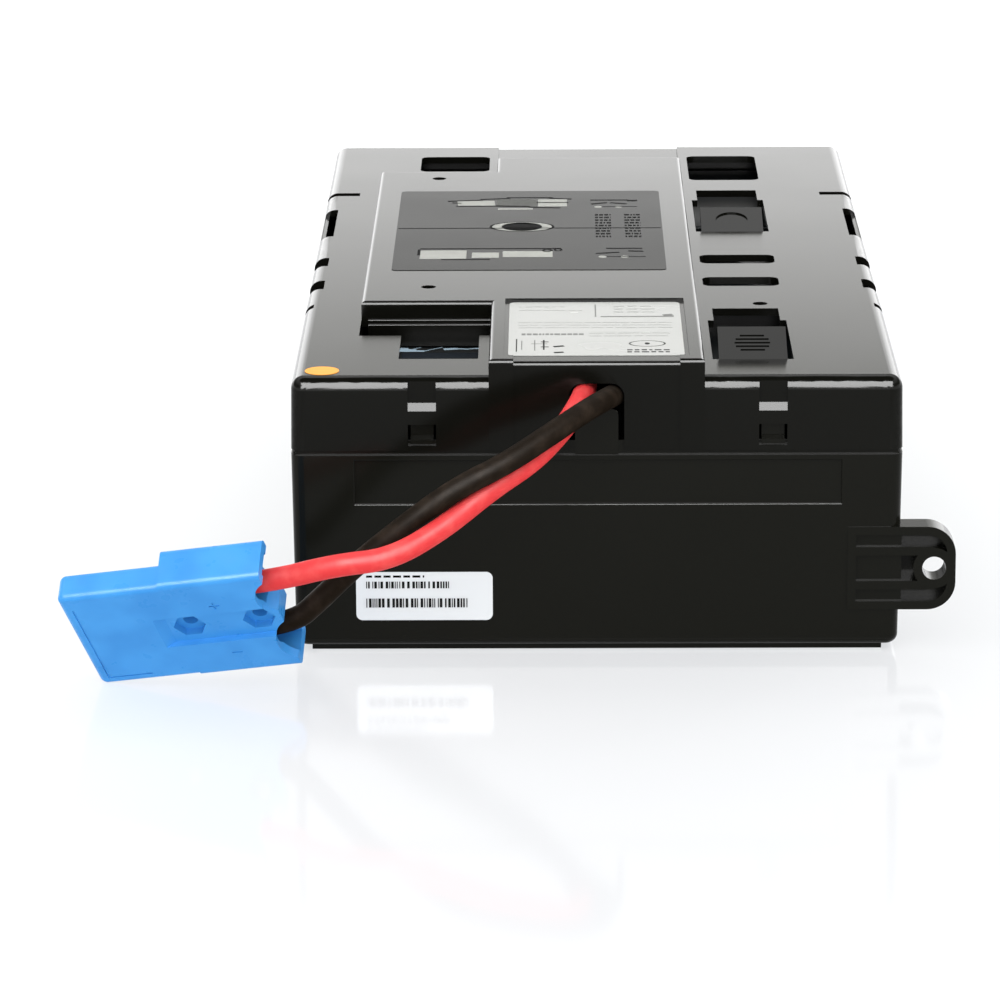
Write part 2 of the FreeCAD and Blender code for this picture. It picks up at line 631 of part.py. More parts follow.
def cover_exit(body):
    """Slot for the leads, open towards the tray and round at the top."""
    top = "lead_level + exit_rise"
    slot = new_sketch(body, "lead_slot", "XZ_Plane", "depth / 2")
    add_polygon(slot, rectangle("-exit_width / 2", "exit_width / 2", "cover_base", top))
    cut(body, slot, "2 * wall")
    top_z, half = number(top), number("exit_width / 2")
    round_edges(body, "exit_round", lambda middle, along: at(middle.z, top_z)
                and at(abs(middle.x), half) and at(along.x, 0))


def cover_openings(body):
    """Openings through the roof: trough and notch, rear windows, oblong slots and pin holes."""
    near, far = "face + plateau_start - trough_depth", "face + plateau_start"
    notch = "-(notch_left - notch_width)"
    plan = new_sketch(body, "roof_openings", "XY_Plane", "roof_top")
    add_polygon(plan, (("-plateau_left", far), ("-plateau_left", near), ("-notch_left", near),
                       ("-notch_left", f"{near} - notch_depth"), (notch, f"{near} - notch_depth"),
                       (notch, near), ("-strip_half", near), ("-strip_half", far)))
    back = "face + rear_window_reach"
    right = "window_left + window_width"
    add_polygon(plan, rectangle(f"-({right})", "-window_left", f"{back} - rear_window_left", back))
    add_polygon(plan, rectangle("window_left", right, f"{back} - rear_window_right", back))
    for step in (0, 1):
        start = f"face + slot_front + {step} * slot_step"
        add_polygon(plan, rectangle("window_left", right, start, f"{start} + slot_length"))
    cut(body, plan, "roof")
    level, clear = number("roof_top - roof / 2"), number(far) + 1
    round_edges(body, "opening_round", lambda middle, along: is_upright(along)
                and at(middle.z, level, 0.2) and middle.y > clear and at(along.Length, number("roof")))
    holes = new_sketch(body, "pin_holes", "XY_Plane", "plateau_top")
    for x, y in (("-pin_left", "face + pin_front"), ("pin_right", "face + pin_front"),
                 ("-pin_left", "face + plateau_end - pin_back")):
        add_circle(holes, x, y, "pin_hole")
    cut(body, holes, "plateau_rise + roof")
    ledge = new_sketch(body, "back_step", "XY_Plane", "roof_top")
    add_polygon(ledge, rectangle("-strip_half", "strip_half", "face + strip_reach + roof", "depth / 2"))
    cut(body, ledge, "back_ledge")


def cover_trough_wall(body):
    """Wall behind the trough: it goes on down to the blocks in two small steps."""
    start = "face + plateau_start"
    foot = "block_top + block_play"
    side = new_sketch(body, "trough_wall", "YZ_Plane", "-plateau_left + wall")
    add_polygon(side, (
        (f"{start} + wall", foot), (f"{start} + wall", "roof_top"), (f"{start} - ledge", "roof_top"),
        (f"{start} - ledge", "roof_top - ledge_drop"), (f"{start} - 2 * ledge", "roof_top - ledge_drop"),
        (f"{start} - 2 * ledge", foot)))
    grow(body, side, "plateau_left - strip_half")
    steps = [(number(f"{start} - {count} * ledge"), number(level))
             for count, level in ((1, "roof_top"), (2, "roof_top - ledge_drop"))]
    round_edges(body, "ledge / 2", lambda middle, along: at(along.y, 0) and at(along.z, 0)
                and any(at(middle.y, y) and at(middle.z, z) for y, z in steps))


def cover_side_notches(body):
    """Notches through the top edge on both sides, and a long pocket inside the edge."""
    plan = new_sketch(body, "side_notches", "XY_Plane", "roof_top")
    pockets = new_sketch(body, "side_pockets", "XY_Plane", "roof_top")
    for side in (-1, 1):
        cuts = (("notch_front", "notch_run", "side_inset"),
                ("notch_front + notch_step", "notch_run", "side_inset"),
                ("slit_front", "thin_run", "slit_inset"), ("thin_front", "thin_run", "thin_inset"))
        for start, run, inset in cuts:
            edges = (f"{side} * (width / 2 - {inset})", f"{side} * (width / 2)")
            add_polygon(plan, rectangle(*edges, f"face + {start}", f"face + {start} + {run}"))
        edges = (f"{side} * (width / 2 - side_inset)", f"{side} * (width / 2 - pocket_rim)")
        add_polygon(pockets, rectangle(*edges, "face + pocket_front",
                                       "face + pocket_front + pocket_run"))
    cut(body, plan, "side_drop")
    cut(body, pockets, "roof")


def cover_channels(body):
    """Snap channels down the front: a sunk channel, a ramp, a window and nib slots behind."""
    low, sill = "cover_base + ramp_low", "cover_base + latch_sill"
    for name, middle in (("left", "-latch_left"), ("right", "latch_right")):
        edge = f"{middle} - latch_width / 2"
        side = new_sketch(body, f"{name}_channel", "YZ_Plane", edge)
        add_polygon(side, (
            ("face", "roof_top"), ("face", low), (f"face + 2 * fit_clearance", low),
            ("face + latch_depth", f"{low} + ramp_rise"), ("face + latch_depth", "roof_top")))
        cut(body, side, "latch_width", reverse=True)
        window = new_sketch(body, f"{name}_window", "XZ_Plane", "depth / 2")
        add_polygon(window, rectangle(edge, f"{edge} + latch_width", sill, f"{sill} + latch_window"))
        cut(body, window, "2 * wall")
    slots = new_sketch(body, "nib_slots", "XZ_Plane", "-depth / 2")
    for side in (-1, 1):
        half = "(nib_width / 2 + 2 * fit_clearance)"
        middle = f"{side} * nib_offset"
        add_polygon(slots, rectangle(f"{middle} - {half}", f"{middle} + {half}", sill,
                                     "rim_height + lip_height + 2 * fit_clearance"))
    cut(body, slots, "wall", reverse=True)


def latch_flap(body, name, start, angle):
    """Opening in the roof with a flap that rises in it from its front edge."""
    root = f"face + {start}"
    middle = "(window_left + window_width / 2)"
    tail = f"{root} + flap_gap"
    plan = new_sketch(body, f"{name}_opening", "XY_Plane", "roof_top")
    half = "flap_width / 2"
    add_polygon(plan, (("window_left", root), ("window_left + window_width", root),
                       ("window_left + window_width", tail), (f"{middle} + {half}", tail),
                       (f"{middle} + {half}", f"{tail} + flap_tail"),
                       (f"{middle} - {half}", f"{tail} + flap_tail"),
                       (f"{middle} - {half}", tail), ("window_left", tail)))
    cut(body, plan, "roof")
    rise, run = f"sin({angle} * 1 deg)", f"cos({angle} * 1 deg)"
    side = new_sketch(body, f"{name}_flap_side", "YZ_Plane", f"{middle} - {half}")
    add_polygon(side, (
        (f"{root} - wall", "roof_under"), (f"{root} + roof * {rise}", "roof_under"),
        (f"{root} + flap_length * {run} + roof * {rise}",
         f"roof_top + flap_length * {rise} - roof * {run}"),
        (f"{root} + flap_length * {run}", f"roof_top + flap_length * {rise}"),
        (root, "roof_top"), (f"{root} - wall", "roof_top")))
    grow(body, side, "flap_width")
    grip = new_sketch(body, f"{name}_grip", "XY_Plane", "roof_top", tilt=(root, angle))
    if name == "far":
        add_circle(grip, middle, "flap_length / 2", "grip_size")
        cut(body, grip, "grip_relief")
        return
    for step in range(-2, 3):
        offset = f"({step} * grip_size / 5.5)"
        reach = f"sqrt((grip_size / 2) * (grip_size / 2) - {offset} * {offset})"
        along = f"flap_length / 2 + {offset}"
        add_polygon(grip, rectangle(f"{middle} - {reach}", f"{middle} + {reach}",
                                    f"{along} - grip_relief", f"{along} + grip_relief"))
    cut(body, grip, "grip_relief")


# ---------------------------------------------------------------- blocks

COLUMNS = (("left", -1), ("right", 1))
ROWS = (("front", "front_lid + battery_height", 0), ("middle", "middle_base", 180),
        ("rear", "rear_lid + battery_height", 0))


def battery_place(column, base, turn):
    """A block lies on its side: its own upright axis points to the front, or to the back."""
    spot = Vector(column * number("column_offset"), number(base),
                  number("block_base + battery_thickness / 2"))
    return Placement(spot, Rotation(Vector(0, 0, 1), turn) * Rotation(Vector(1, 0, 0), 90))


def battery_case(label, place):
    body = new_body(label)
    plan = new_sketch(body, label + "_plan", "XY_Plane", "0")
    half_x, half_y = "battery_length / 2", "battery_thickness / 2"
    add_polygon(plan, rectangle(f"-{half_x}", half_x, f"-{half_y}", half_y))
    grow(body, plan, "battery_height - battery_lid")
    round_edges(body, "battery_edge", lambda middle, along: is_upright(along)
                or at(middle.z, 0))
    body.Placement = place


def battery_lid(label, place):
    """Lid with a sunk field for the vent strip."""
    body = new_body(label)
    plan = new_sketch(body, label + "_plan", "XY_Plane", "battery_height - battery_lid")
    half_x, half_y = "battery_length / 2", "battery_thickness / 2"
    add_polygon(plan, rectangle(f"-{half_x}", half_x, f"-{half_y}", half_y))
    grow(body, plan, "battery_lid")
    top = number("battery_height")
    round_edges(body, "battery_edge", lambda middle, along: is_upright(along))
    round_edges(body, "battery_edge / 2", lambda middle, along: at(middle.z, top))
    field = new_sketch(body, label + "_field", "XY_Plane", "battery_height")
    reach = "(tab_offset - tab_inset)"
    add_polygon(field, rectangle(f"-{reach}", reach, "-battery_thickness / 4",
                                 "battery_thickness / 4"))
    cut(body, field, "battery_edge / 2")
    body.Placement = place


def bound_box(name, size, corner):
    """A Part box with its size and its lowest corner bound to the sheet."""
    box = doc.addObject("Part::Box", name)
    for side, text in zip(("Length", "Width", "Height"), size):
        box.setExpression(side, bind(text))
    for axis, text in zip("xyz", corner):
        box.setExpression(f"Placement.Base.{axis}", bind(text))
    return box


def bound_cylinder(name, diameter, length, base, direction):
    """A Part cylinder that starts at a bound point and runs along a direction."""
    rod = doc.addObject("Part::Cylinder", name)
    rod.setExpression("Radius", bind(f"({diameter}) / 2"))
    rod.setExpression("Height", bind(length))
    rod.Placement.Rotation = Rotation(Vector(0, 0, 1), Vector(*direction))
    for axis, text in zip("xyz", base):
        rod.setExpression(f"Placement.Base.{axis}", bind(text))
    return rod


def fused(label, shapes, place=None):
    union = doc.addObject("Part::MultiFuse", label)
    union.Label = label
    union.Shapes = shapes
    if place:
        union.Placement = place
    return union


TAB_Y = "battery_thickness / 2 - tab_drop"


def battery_tabs(label, place):
    """The two terminal tabs: each a small foot on the lid and an upright blade."""
    pieces = []
    for side in (-1, 1):
        x = f"{side} * tab_offset"
        pieces.append(bound_box(f"{label}_foot_{side + 1}",
                                ("tab_width + 2 * tab_foot", "tab_width", "tab_foot"),
                                (f"{x} - tab_width / 2 - tab_foot", f"{TAB_Y} - tab_width / 2",
                                 "battery_height")))
        pieces.append(bound_box(f"{label}_blade_{side + 1}",
                                ("tab_width", "tab_thickness", "tab_length"),
                                (f"{x} - tab_width / 2", f"{TAB_Y} - tab_thickness / 2",
                                 "battery_height")))
    return fused(label, pieces, place)


def tab_receptacles(label, place, lead_side):
    """The two push-on receptacles, each with a crimp barrel that stands across the tab."""
    pieces = []
    for side in (-1, 1):
        x = f"{side} * tab_offset"
        wire = "lead_size" if side == lead_side else "jumper_size"
        shell = bound_box(f"{label}_shell_{side + 1}",
                          ("tab_width + receptacle_wall", "receptacle_size", "tab_length"),
                          (f"{x} - (tab_width + receptacle_wall) / 2",
                           f"{TAB_Y} - receptacle_size / 2", "battery_height + tab_foot"))
        slot = bound_box(f"{label}_slot_{side + 1}",
                         ("tab_width + 2 * fit_clearance", "tab_thickness + 2 * fit_clearance",
                          "tab_length"),
                         (f"{x} - tab_width / 2 - fit_clearance",
                          f"{TAB_Y} - tab_thickness / 2 - fit_clearance", "battery_height"))
        sleeve = doc.addObject("Part::Cut", f"{label}_sleeve_{side + 1}")
        sleeve.Base, sleeve.Tool = shell, slot
        barrel = bound_cylinder(f"{label}_barrel_{side + 1}", f"{wire} + receptacle_wall / 4",
                                "barrel_length", (x, f"{TAB_Y} + receptacle_size / 2 - fit_clearance",
                                                  "battery_height + tab_foot + tab_length / 2"), (0, 1, 0))
        pieces += [sleeve, barrel]
    return fused(label, pieces, place)


def foam_pads():
    """Foam strips between the blocks and the raised middle of the cover."""
    pads = []
    starts = ("front_lid + foam_start", "middle_base + foam_start / 2", "rear_lid + wall")
    for row, start in enumerate(starts):
        for column in (-1, 1):
            corner = (f"{column} * foam_offset - foam_width / 2", start, "block_top")
            pads.append(bound_box(f"foam_{row}_{column + 1}",
                                  ("foam_width", "foam_length",
                                   "plateau_under - block_top - fit_clearance"), corner))
    return fused("foam_pads", pads)


# ---------------------------------------------------------------- wiring


def unit(vector):
    return vector * (1 / vector.Length)


def tube(label, points, size, shares=0.45, limit=1e6):
    """Round wire along straight runs joined by tangent arcs.

    An arc takes the given share of the shorter run beside it, up to a limit on its radius.
    """
    runs = [end - start for start, end in zip(points, points[1:])]
    edges, radii, here = [], [], points[0]
    for place in range(1, len(points) - 1):
        back, ahead = unit(runs[place - 1]), unit(runs[place])
        turn = back.getAngle(ahead)
        shorter = min(runs[place - 1].Length, runs[place].Length)
        radius = min(shares * shorter / math.tan(turn / 2), limit)
        reach = radius * math.tan(turn / 2)
        start, end = points[place] - back * reach, points[place] + ahead * reach
        bisector = unit(ahead - back)
        middle = points[place] + bisector * (radius / math.cos(turn / 2) - radius)
        edges += [Part.LineSegment(here, start).toShape(), Part.Arc(start, middle, end).toShape()]
        radii.append(radius)
        here = end
    edges.append(Part.LineSegment(here, points[-1]).toShape())
    path = Part.Wire(edges)
    ring = Part.Wire([Part.Circle(points[0], unit(runs[0]), size / 2).toShape()])
    solid = path.makePipeShell([ring], True, False)
    expected = math.pi * size * size / 4 * path.Length
    if abs(solid.Volume / expected - 1) > 0.01:
        raise RuntimeError(f"{label}: the swept volume is wrong")
    feature = doc.addObject("Part::Feature", label)
    feature.Label = label
    feature.Shape = solid
    print(f"{label}: {path.Length:.1f} mm, radii " + " ".join(f"{r:.1f}" for r in radii))
    return feature


def jumper_points(*points):
    return [Vector(*(number(text) for text in point)) for point in points]


BARREL_TOP = "tab_level + receptacle_size / 2 - fit_clearance + barrel_length"
TAB_REACH = "(tab_foot + tab_length / 2)"


def jumpers():
    """Five jumpers put the six blocks in series."""
    rise = "block_top + jumper_rise"
    outer, inner = "(column_offset + tab_offset)", "(column_offset - tab_offset)"
    size, limit = number("jumper_size"), number("1.6 * jumper_size")
    front = f"front_lid - {TAB_REACH}"
    middle, rear = f"middle_lid + {TAB_REACH}", f"rear_lid - {TAB_REACH}"
    for name, side in COLUMNS:
        far, near = f"{side} * {outer}", f"{side} * {inner}"
        over = jumper_points(
            (far, front, BARREL_TOP), (far, front, rise), (far, "middle_base", rise),
            (near, f"{middle} - battery_lid * 2", rise), (near, middle, rise),
            (near, middle, BARREL_TOP))
        tube(f"jumper_front_middle_{name}", over, size, 0.9 / 2, 5 * limit)
        turn = jumper_points((far, middle, BARREL_TOP), (far, middle, rise), (far, rear, rise),
                             (far, rear, BARREL_TOP))
        tube(f"jumper_middle_rear_{name}", turn, size)
    across = jumper_points((f"-{inner}", rear, BARREL_TOP), (f"-{inner}", rear, rise),
                           (inner, rear, rise), (inner, rear, BARREL_TOP))
    tube("jumper_rear", across, size)


# Way of each lead from the exit to the plug: X, distance in front of the case, height.
RED_ROUTE = ((-4.3, 0.0, 81.3), (-6.1, -14.0, 79.7), (-11.0, -26.0, 73.5), (-19.6, -38.5, 68.8),
             (-31.8, -49.5, 63.2), (-45.8, -57.0, 56.6), (-61.4, -61.0, 50.4),
             (-77.6, -61.0, 45.8))
BLACK_ROUTE = ((4.3, 0.0, 81.3), (2.2, -13.5, 83.4), (-4.2, -25.0, 82.2), (-14.6, -35.8, 79.0),
               (-27.6, -43.5, 74.2), (-42.2, -47.6, 66.4), (-57.4, -48.8, 56.0),
               (-71.8, -47.6, 42.8), (-83.4, -45.6, 30.0))


def route_points(route, pole):
    """A lead's way with its last two points inside the plug, in line with its own bore."""
    face = number("face")
    points = [Vector(x, face + y, z) for x, y, z in route]
    place = plug_place()
    for along in ("plug_length", "bore_start + crimp_length"):
        local = Vector(number(along), pole * number("plug_pole / 2"), number("plug_thickness / 2"))
        points.append(place.multVec(local))
    return points


def leads():
    size = number("lead_size")
    for name, route, pole, side in (("red", RED_ROUTE, -1, -1), ("black", BLACK_ROUTE, 1, 1)):
        points = route_points(route, pole)
        tube(f"{name}_lead", points, size)
        leaving = unit(points[1] - points[0])
        inside = points[0] - leaving * number("front_bay / 2")
        top = jumper_points((f"{side} * (column_offset - tab_offset)", f"front_lid - {TAB_REACH}",
                             BARREL_TOP))[0]
        above = Vector(top.x, top.y, number("plateau_under - lead_size"))
        tube(f"{name}_lead_inside", [points[0], inside, above, top], size, 0.62)


# ---------------------------------------------------------------- plug


def plug_place():
    return doc.getObject("plug_housing").Placement


def resting_place(shape):
    """The plug leans on one corner of its mating end, which just meets the ground."""
    turn = Rotation(number("plug_heading"), -number("plug_rise"), -number("plug_lean"))
    corner = turn.multVec(Vector(0, number("plug_width / 2 - nose_inset"), 0))
    turned = shape.copy()
    turned.Placement = Placement(Vector(), turn)
    lowest = turned.optimalBoundingBox(False, False).ZMin
    spot = Vector(-number("plug_corner_left") - corner.x,
                  number("face - plug_corner_front") - corner.y,
                  number("fit_clearance") - lowest)
    print("plug at", [round(c, 3) for c in spot])
    return Placement(spot, turn)


def plug_housing():
    """Two-pole housing: thin mating half, thick lead half, groove and nuts between the poles."""
    body = new_body("plug_housing")
    half, inner = "plug_width / 2", "(plug_width / 2 - nose_inset)"
    nose = new_sketch(body, "mating_half", "YZ_Plane", "0")
    add_polygon(nose, rectangle(f"-{inner}", inner, "0", "nose_thickness"))
    grow(body, nose, "plug_nose")
    round_edges(body, "nose_corner", lambda middle, along: at(middle.x, 0) and at(along.x, 0)
                and at(along.y, 0))
    round_edges(body, "plug_edge", lambda middle, along: at(along.y, 0) and at(along.z, 0))
    rear = new_sketch(body, "lead_half", "YZ_Plane", "plug_nose")
    add_polygon(rear, rectangle(f"-{half}", half, "0", "plug_thickness"))
    grow(body, rear, "plug_length - plug_nose")
    round_edges(body, "plug_edge", lambda middle, along: at(along.y, 0) and at(along.z, 0)
                and middle.x > number("plug_nose"))
    plug_valley(body)
    plug_cavities(body)
    plug_marks(body)
    body.Placement = resting_place(body.Shape)
    return body


def plug_valley(body):
    """Sloped groove between the poles on both broad faces, with nut pockets and screw holes."""
    run_out = "plug_length + plug_groove_depth"
    slope = "plug_groove_depth / tan(plug_groove_slope * 1 deg)"
    for name, start, outer, floor in (
            ("face_groove", "plug_groove_start", "0", "plug_groove_depth"),
            ("back_groove", f"plug_nose - {slope}", "plug_thickness",
             "plug_thickness - plug_groove_depth")):
        side = new_sketch(body, name, "XZ_Plane", "plug_groove / 2")
        add_polygon(side, ((start, outer), (f"{start} + {slope}", floor), (run_out, floor),
                           (run_out, outer)))
        cut(body, side, "plug_groove")
    nuts = new_sketch(body, "nut_pockets", "XY_Plane", "plug_groove_depth")
    screws = new_sketch(body, "screw_holes", "XY_Plane", "plug_groove_depth")
    for step in (0, 1):
        x = f"plug_screw_start + {step} * plug_screw_step"
        corners = []
        for sixth in range(6):
            angle = f"({sixth} * 60 deg)"
            reach = "plug_nut / sqrt(3)"
            corners.append((f"{x} + {reach} * cos({angle})", f"{reach} * sin({angle})"))
        add_polygon(nuts, corners)
        add_circle(screws, x, "0", "plug_screw")
    cut(body, nuts, "plug_nut_depth", reverse=True)
    cut(body, screws, "plug_thickness", reverse=True)


def plug_cavities(body):
    """In each pole a mouth for the mating plug, a contact channel and a flared lead bore."""
    mouths = new_sketch(body, "mating_mouths", "YZ_Plane", "0")
    channels = new_sketch(body, "contact_channels", "YZ_Plane", "bore_start + wall")
    bores = new_sketch(body, "lead_bores", "YZ_Plane", "plug_length")
    flares = new_sketch(body, "lead_flares", "YZ_Plane", "plug_length")
    scallops = new_sketch(body, "lead_scallops", "XY_Plane", "0")
    for pole in (-1, 1):
        y = f"{pole} * plug_pole / 2"
        add_polygon(mouths, rectangle(f"{y} - mouth_width / 2", f"{y} + mouth_width / 2",
                                      "mouth_floor", "mouth_floor + mouth_height"))
        side, gap = "(contact_width / 4 + 2 * fit_clearance)", "2 * fit_clearance"
        add_polygon(channels, rectangle(f"{y} - {side}", f"{y} + {side}", f"{UNDER} - {gap}",
                                        f"{UNDER} + contact_thickness + {gap}"))
        add_circle(bores, y, "plug_thickness / 2", "plug_bore")
        inner, outer = f"{pole} * plug_nut * 2 / 3", f"{pole} * (plug_width / 2 - plug_wall)"
        floor = "(plug_groove_depth + plug_edge / 2)"
        add_polygon(flares, rectangle(inner, outer, floor, f"plug_thickness - {floor}"))
        add_circle(scallops, "plug_length + plug_bore / 2", y, "2 * plug_bore - plug_edge")
    cut(body, mouths, "mouth_depth", reverse=True)
    cut(body, channels, "bore_start + 2 * wall - mouth_depth")
    cut(body, bores, "plug_length - bore_start")
    cut(body, flares, "plug_bore")
    cut(body, scallops, "plug_thickness", reverse=True)


def plug_marks(body):
    """Plus and minus at the poles, and a line round one corner of the mating half."""
    marks = new_sketch(body, "pole_marks", "XY_Plane", "0")
    size, line = "mark_size / 2", "mark_line / 2"
    plus, minus = "-plug_pole / 2", "plug_pole / 2 + plug_edge"
    add_polygon(marks, rectangle(f"mark_start - {size}", f"mark_start + {size}",
                                 f"{minus} - {line}", f"{minus} + {line}"))
    add_polygon(marks, plus_outline("mark_start", plus, size, line))
    near, low = "corner_line_inset", "(plug_width / 2 - nose_inset - corner_line_inset)"
    add_polygon(marks, ((near, f"-{low} + corner_line_inset"),
                        (f"{near} + mark_line", f"-{low} + corner_line_inset"),
                        (f"{near} + mark_line", f"{low} - mark_line"),
                        (f"{near} + corner_line", f"{low} - mark_line"),
                        (f"{near} + corner_line", low), (near, low)))
    cut(body, marks, "mark_depth", reverse=True)


def plus_outline(x, y, size, line):
    """The twelve corners of a plus sign."""
    steps = ((size, line), (line, line), (line, size), (f"-{line}", size), (f"-{line}", line),
             (f"-{size}", line), (f"-{size}", f"-{line}"), (f"-{line}", f"-{line}"),
             (f"-{line}", f"-{size}"), (line, f"-{size}"), (line, f"-{line}"), (size, f"-{line}"))
    return [(f"{x} + ({across})", f"{y} + ({up})") for across, up in steps]


UNDER = "(plug_thickness / 2 - crimp_size / 2 + 2 * fit_clearance)"


def plug_contacts():
    """In each pole a contact blade with its crimp barrel, on a bent leaf spring."""
    for name, pole in (("red", -1), ("black", 1)):
        y = f"{pole} * plug_pole / 2"
        blade = bound_box(f"{name}_blade", ("contact_length", "contact_width", "contact_thickness"),
                          ("mouth_depth - fit_clearance - contact_length",
                           f"{y} - contact_width / 2", UNDER))
        crimp = bound_cylinder(f"{name}_crimp", "crimp_size",
                               "crimp_length - 2 * fit_clearance",
                               ("bore_start + 2 * fit_clearance", y, "plug_thickness / 2"),
                               (1, 0, 0))
        neck = bound_box(f"{name}_neck", ("bore_start - mouth_depth + 3 * wall",
                                          "contact_width / 2", "contact_thickness"),
                         ("mouth_depth - 2 * wall", f"{y} - contact_width / 4", UNDER))
        fused(f"{name}_contact", [blade, neck, crimp], plug_place())
        leaf = new_body(f"{name}_spring")
        side = new_sketch(leaf, f"{name}_spring_side", "XZ_Plane", f"-({y}) - contact_width / 2")
        low, high = "mouth_floor", f"{UNDER} - fit_clearance / 2"
        start, middle, end = "mouth_depth / 4", "mouth_depth / 2", "3 * mouth_depth / 4"
        add_polygon(side, ((start, low), (f"{start} + spring_thickness", low),
                           (middle, f"{high} - spring_thickness"), (f"{end} - spring_thickness", low),
                           (end, low), (middle, high)))
        grow(leaf, side, "contact_width")
        leaf.Placement = plug_place()


def label_plate(label, plane, level, corners, place=None):
    body = new_body(label)
    plan = new_sketch(body, label + "_outline", plane, level)
    add_polygon(plan, corners)
    grow(body, plan, "sheet_thickness")
    normal = 2 if plane == "XY_Plane" else 1
    round_edges(body, "label_round", lambda middle, along: abs(along[normal]) > 0.9 * along.Length)
    if place:
        body.Placement = place


def labels():
    middle = "(label_start + label_reach) / 2"
    label_plate("rating_label", "XY_Plane", "plateau_top - label_sink", rectangle(
        "-rating_width / 2", "rating_width / 2", f"face + {middle} - rating_depth / 2",
        f"face + {middle} + rating_depth / 2"))
    label_plate("safety_label", "XY_Plane", "plateau_top", rectangle(
        "safety_left - safety_width", "safety_left", "face + safety_front",
        "face + safety_front + safety_depth"))
    lean = Placement(Vector(0, number("face"), number("rim_height")),
                     Rotation(Vector(1, 0, 0), number("draft_angle")))
    label_plate("bar_code_label", "XZ_Plane", "0", rectangle(
        "-code_left", "-code_left + code_width", "code_bottom - rim_height",
        "code_bottom + code_height - rim_height"), lean)
    dot = bound_cylinder("marker_dot", "dot_size", "sheet_thickness",
                         ("-dot_left", "face + dot_front", "roof_top"), (0, 0, 1))
    dot.Label = "marker_dot"


# ---------------------------------------------------------------- build and export


def build():
    bottom_tray()
    top_cover()
    for row, base, turn in ROWS:
        for column, side in COLUMNS:
            place = battery_place(side, base, turn)
            name = f"{row}_{column}"
            battery_case(f"battery_case_{name}", place)
            battery_lid(f"battery_lid_{name}", place)
            battery_tabs(f"battery_tabs_{name}", place)
            tab_receptacles(f"tab_receptacles_{name}", place, -side if row == "front" else 0)
    foam_pads()
    jumpers()
    plug_housing()
    leads()
    plug_contacts()
    labels()
    doc.recompute()


def is_node(item):
    """A finished piece: nothing else in the document uses it."""
    users = [user for user in item.InList if not user.isDerivedFrom("Spreadsheet::Sheet")]
    kinds = ("PartDesign::Body", "Part::MultiFuse", "Part::Cylinder", "Part::Feature")
    return item.TypeId in kinds and not users


def export():
    failed = [item.Label for item in doc.Objects if {"Invalid", "Error"} & set(item.State)]
    if failed:
        raise RuntimeError("failed objects: " + ", ".join(failed))
    nodes = [item for item in doc.Objects if is_node(item)]
    for item in nodes:
        if item.Shape.isNull() or not item.Shape.isValid() or not item.Shape.Solids:
            raise RuntimeError(f"{item.Label}: no valid solid")
    os.makedirs("parts", exist_ok=True)
    for item in nodes:
        item.Shape.exportStep(f"parts/{item.Label}.step")
    print(len(nodes), "pieces written")


build()
export()
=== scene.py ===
import math
import random

import bpy
from bpy.props import FloatProperty, FloatVectorProperty, PointerProperty
from mathutils import Matrix, Vector


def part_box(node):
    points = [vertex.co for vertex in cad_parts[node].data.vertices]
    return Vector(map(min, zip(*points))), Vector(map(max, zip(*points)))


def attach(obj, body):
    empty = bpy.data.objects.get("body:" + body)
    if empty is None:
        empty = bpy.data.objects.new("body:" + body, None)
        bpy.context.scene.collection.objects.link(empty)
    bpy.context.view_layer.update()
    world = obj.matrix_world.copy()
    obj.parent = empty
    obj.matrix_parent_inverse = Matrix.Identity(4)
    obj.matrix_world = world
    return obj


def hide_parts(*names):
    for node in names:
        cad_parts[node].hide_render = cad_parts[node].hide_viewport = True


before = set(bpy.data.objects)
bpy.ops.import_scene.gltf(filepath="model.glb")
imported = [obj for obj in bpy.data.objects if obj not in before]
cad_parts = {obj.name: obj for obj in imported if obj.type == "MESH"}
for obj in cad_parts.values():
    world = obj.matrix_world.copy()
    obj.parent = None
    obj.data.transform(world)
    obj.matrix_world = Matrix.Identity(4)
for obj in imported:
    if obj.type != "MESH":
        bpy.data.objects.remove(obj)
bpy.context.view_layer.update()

bl_info = {
    "name": "Battery Cartridge",
    "version": (1, 0, 0),
    "blender": (4, 5, 0),
    "location": "3D View > Sidebar > Cartridge",
    "description": "Dresses a battery cartridge with leads, mouldings, labels and a studio",
    "category": "Object",
}

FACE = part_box("bottom_tray")[0][1]  # the front face, where the leads come out
NOISE_LOW, NOISE_HIGH = 0.3, 0.7  # nearly all of a noise lies between these
INK_THICKNESS = 0.02  # mm


def mm(value):
    """Millimetres in metres, which is what Blender and the frame count in."""
    return value / 1000


# ---------------------------------------------------------------- colours and shader nodes


def channel_to_linear(value):
    """One sRGB channel, made linear."""
    return value / 12.92 if value <= 0.04045 else ((value + 0.055) / 1.055) ** 2.4


def colour(text):
    """A linear colour with alpha from an sRGB hex value."""
    channels = [int(text[i:i + 2], 16) / 255 for i in (1, 3, 5)]
    return tuple(channel_to_linear(c) for c in channels) + (1.0,)


def add_node(tree, kind, inputs=None, **settings):
    """Add a node, set its properties, and fill its inputs with values or with links."""
    node = tree.nodes.new(kind)
    for name, value in settings.items():
        setattr(node, name, value)
    for name, value in (inputs or {}).items():
        socket = node.inputs[name]
        if isinstance(value, bpy.types.NodeSocket):
            tree.links.new(value, socket)
        else:
            socket.default_value = value
    return node


def new_material(name, **values):
    """A material of one Principled BSDF with the given socket values."""
    material = bpy.data.materials.new(name)
    material.use_nodes = True
    tree = material.node_tree
    tree.nodes.clear()
    shader = add_node(tree, "ShaderNodeBsdfPrincipled",
                      {key.replace("_", " "): value for key, value in values.items()})
    add_node(tree, "ShaderNodeOutputMaterial", {"Surface": shader.outputs[0]})
    return material, tree, shader


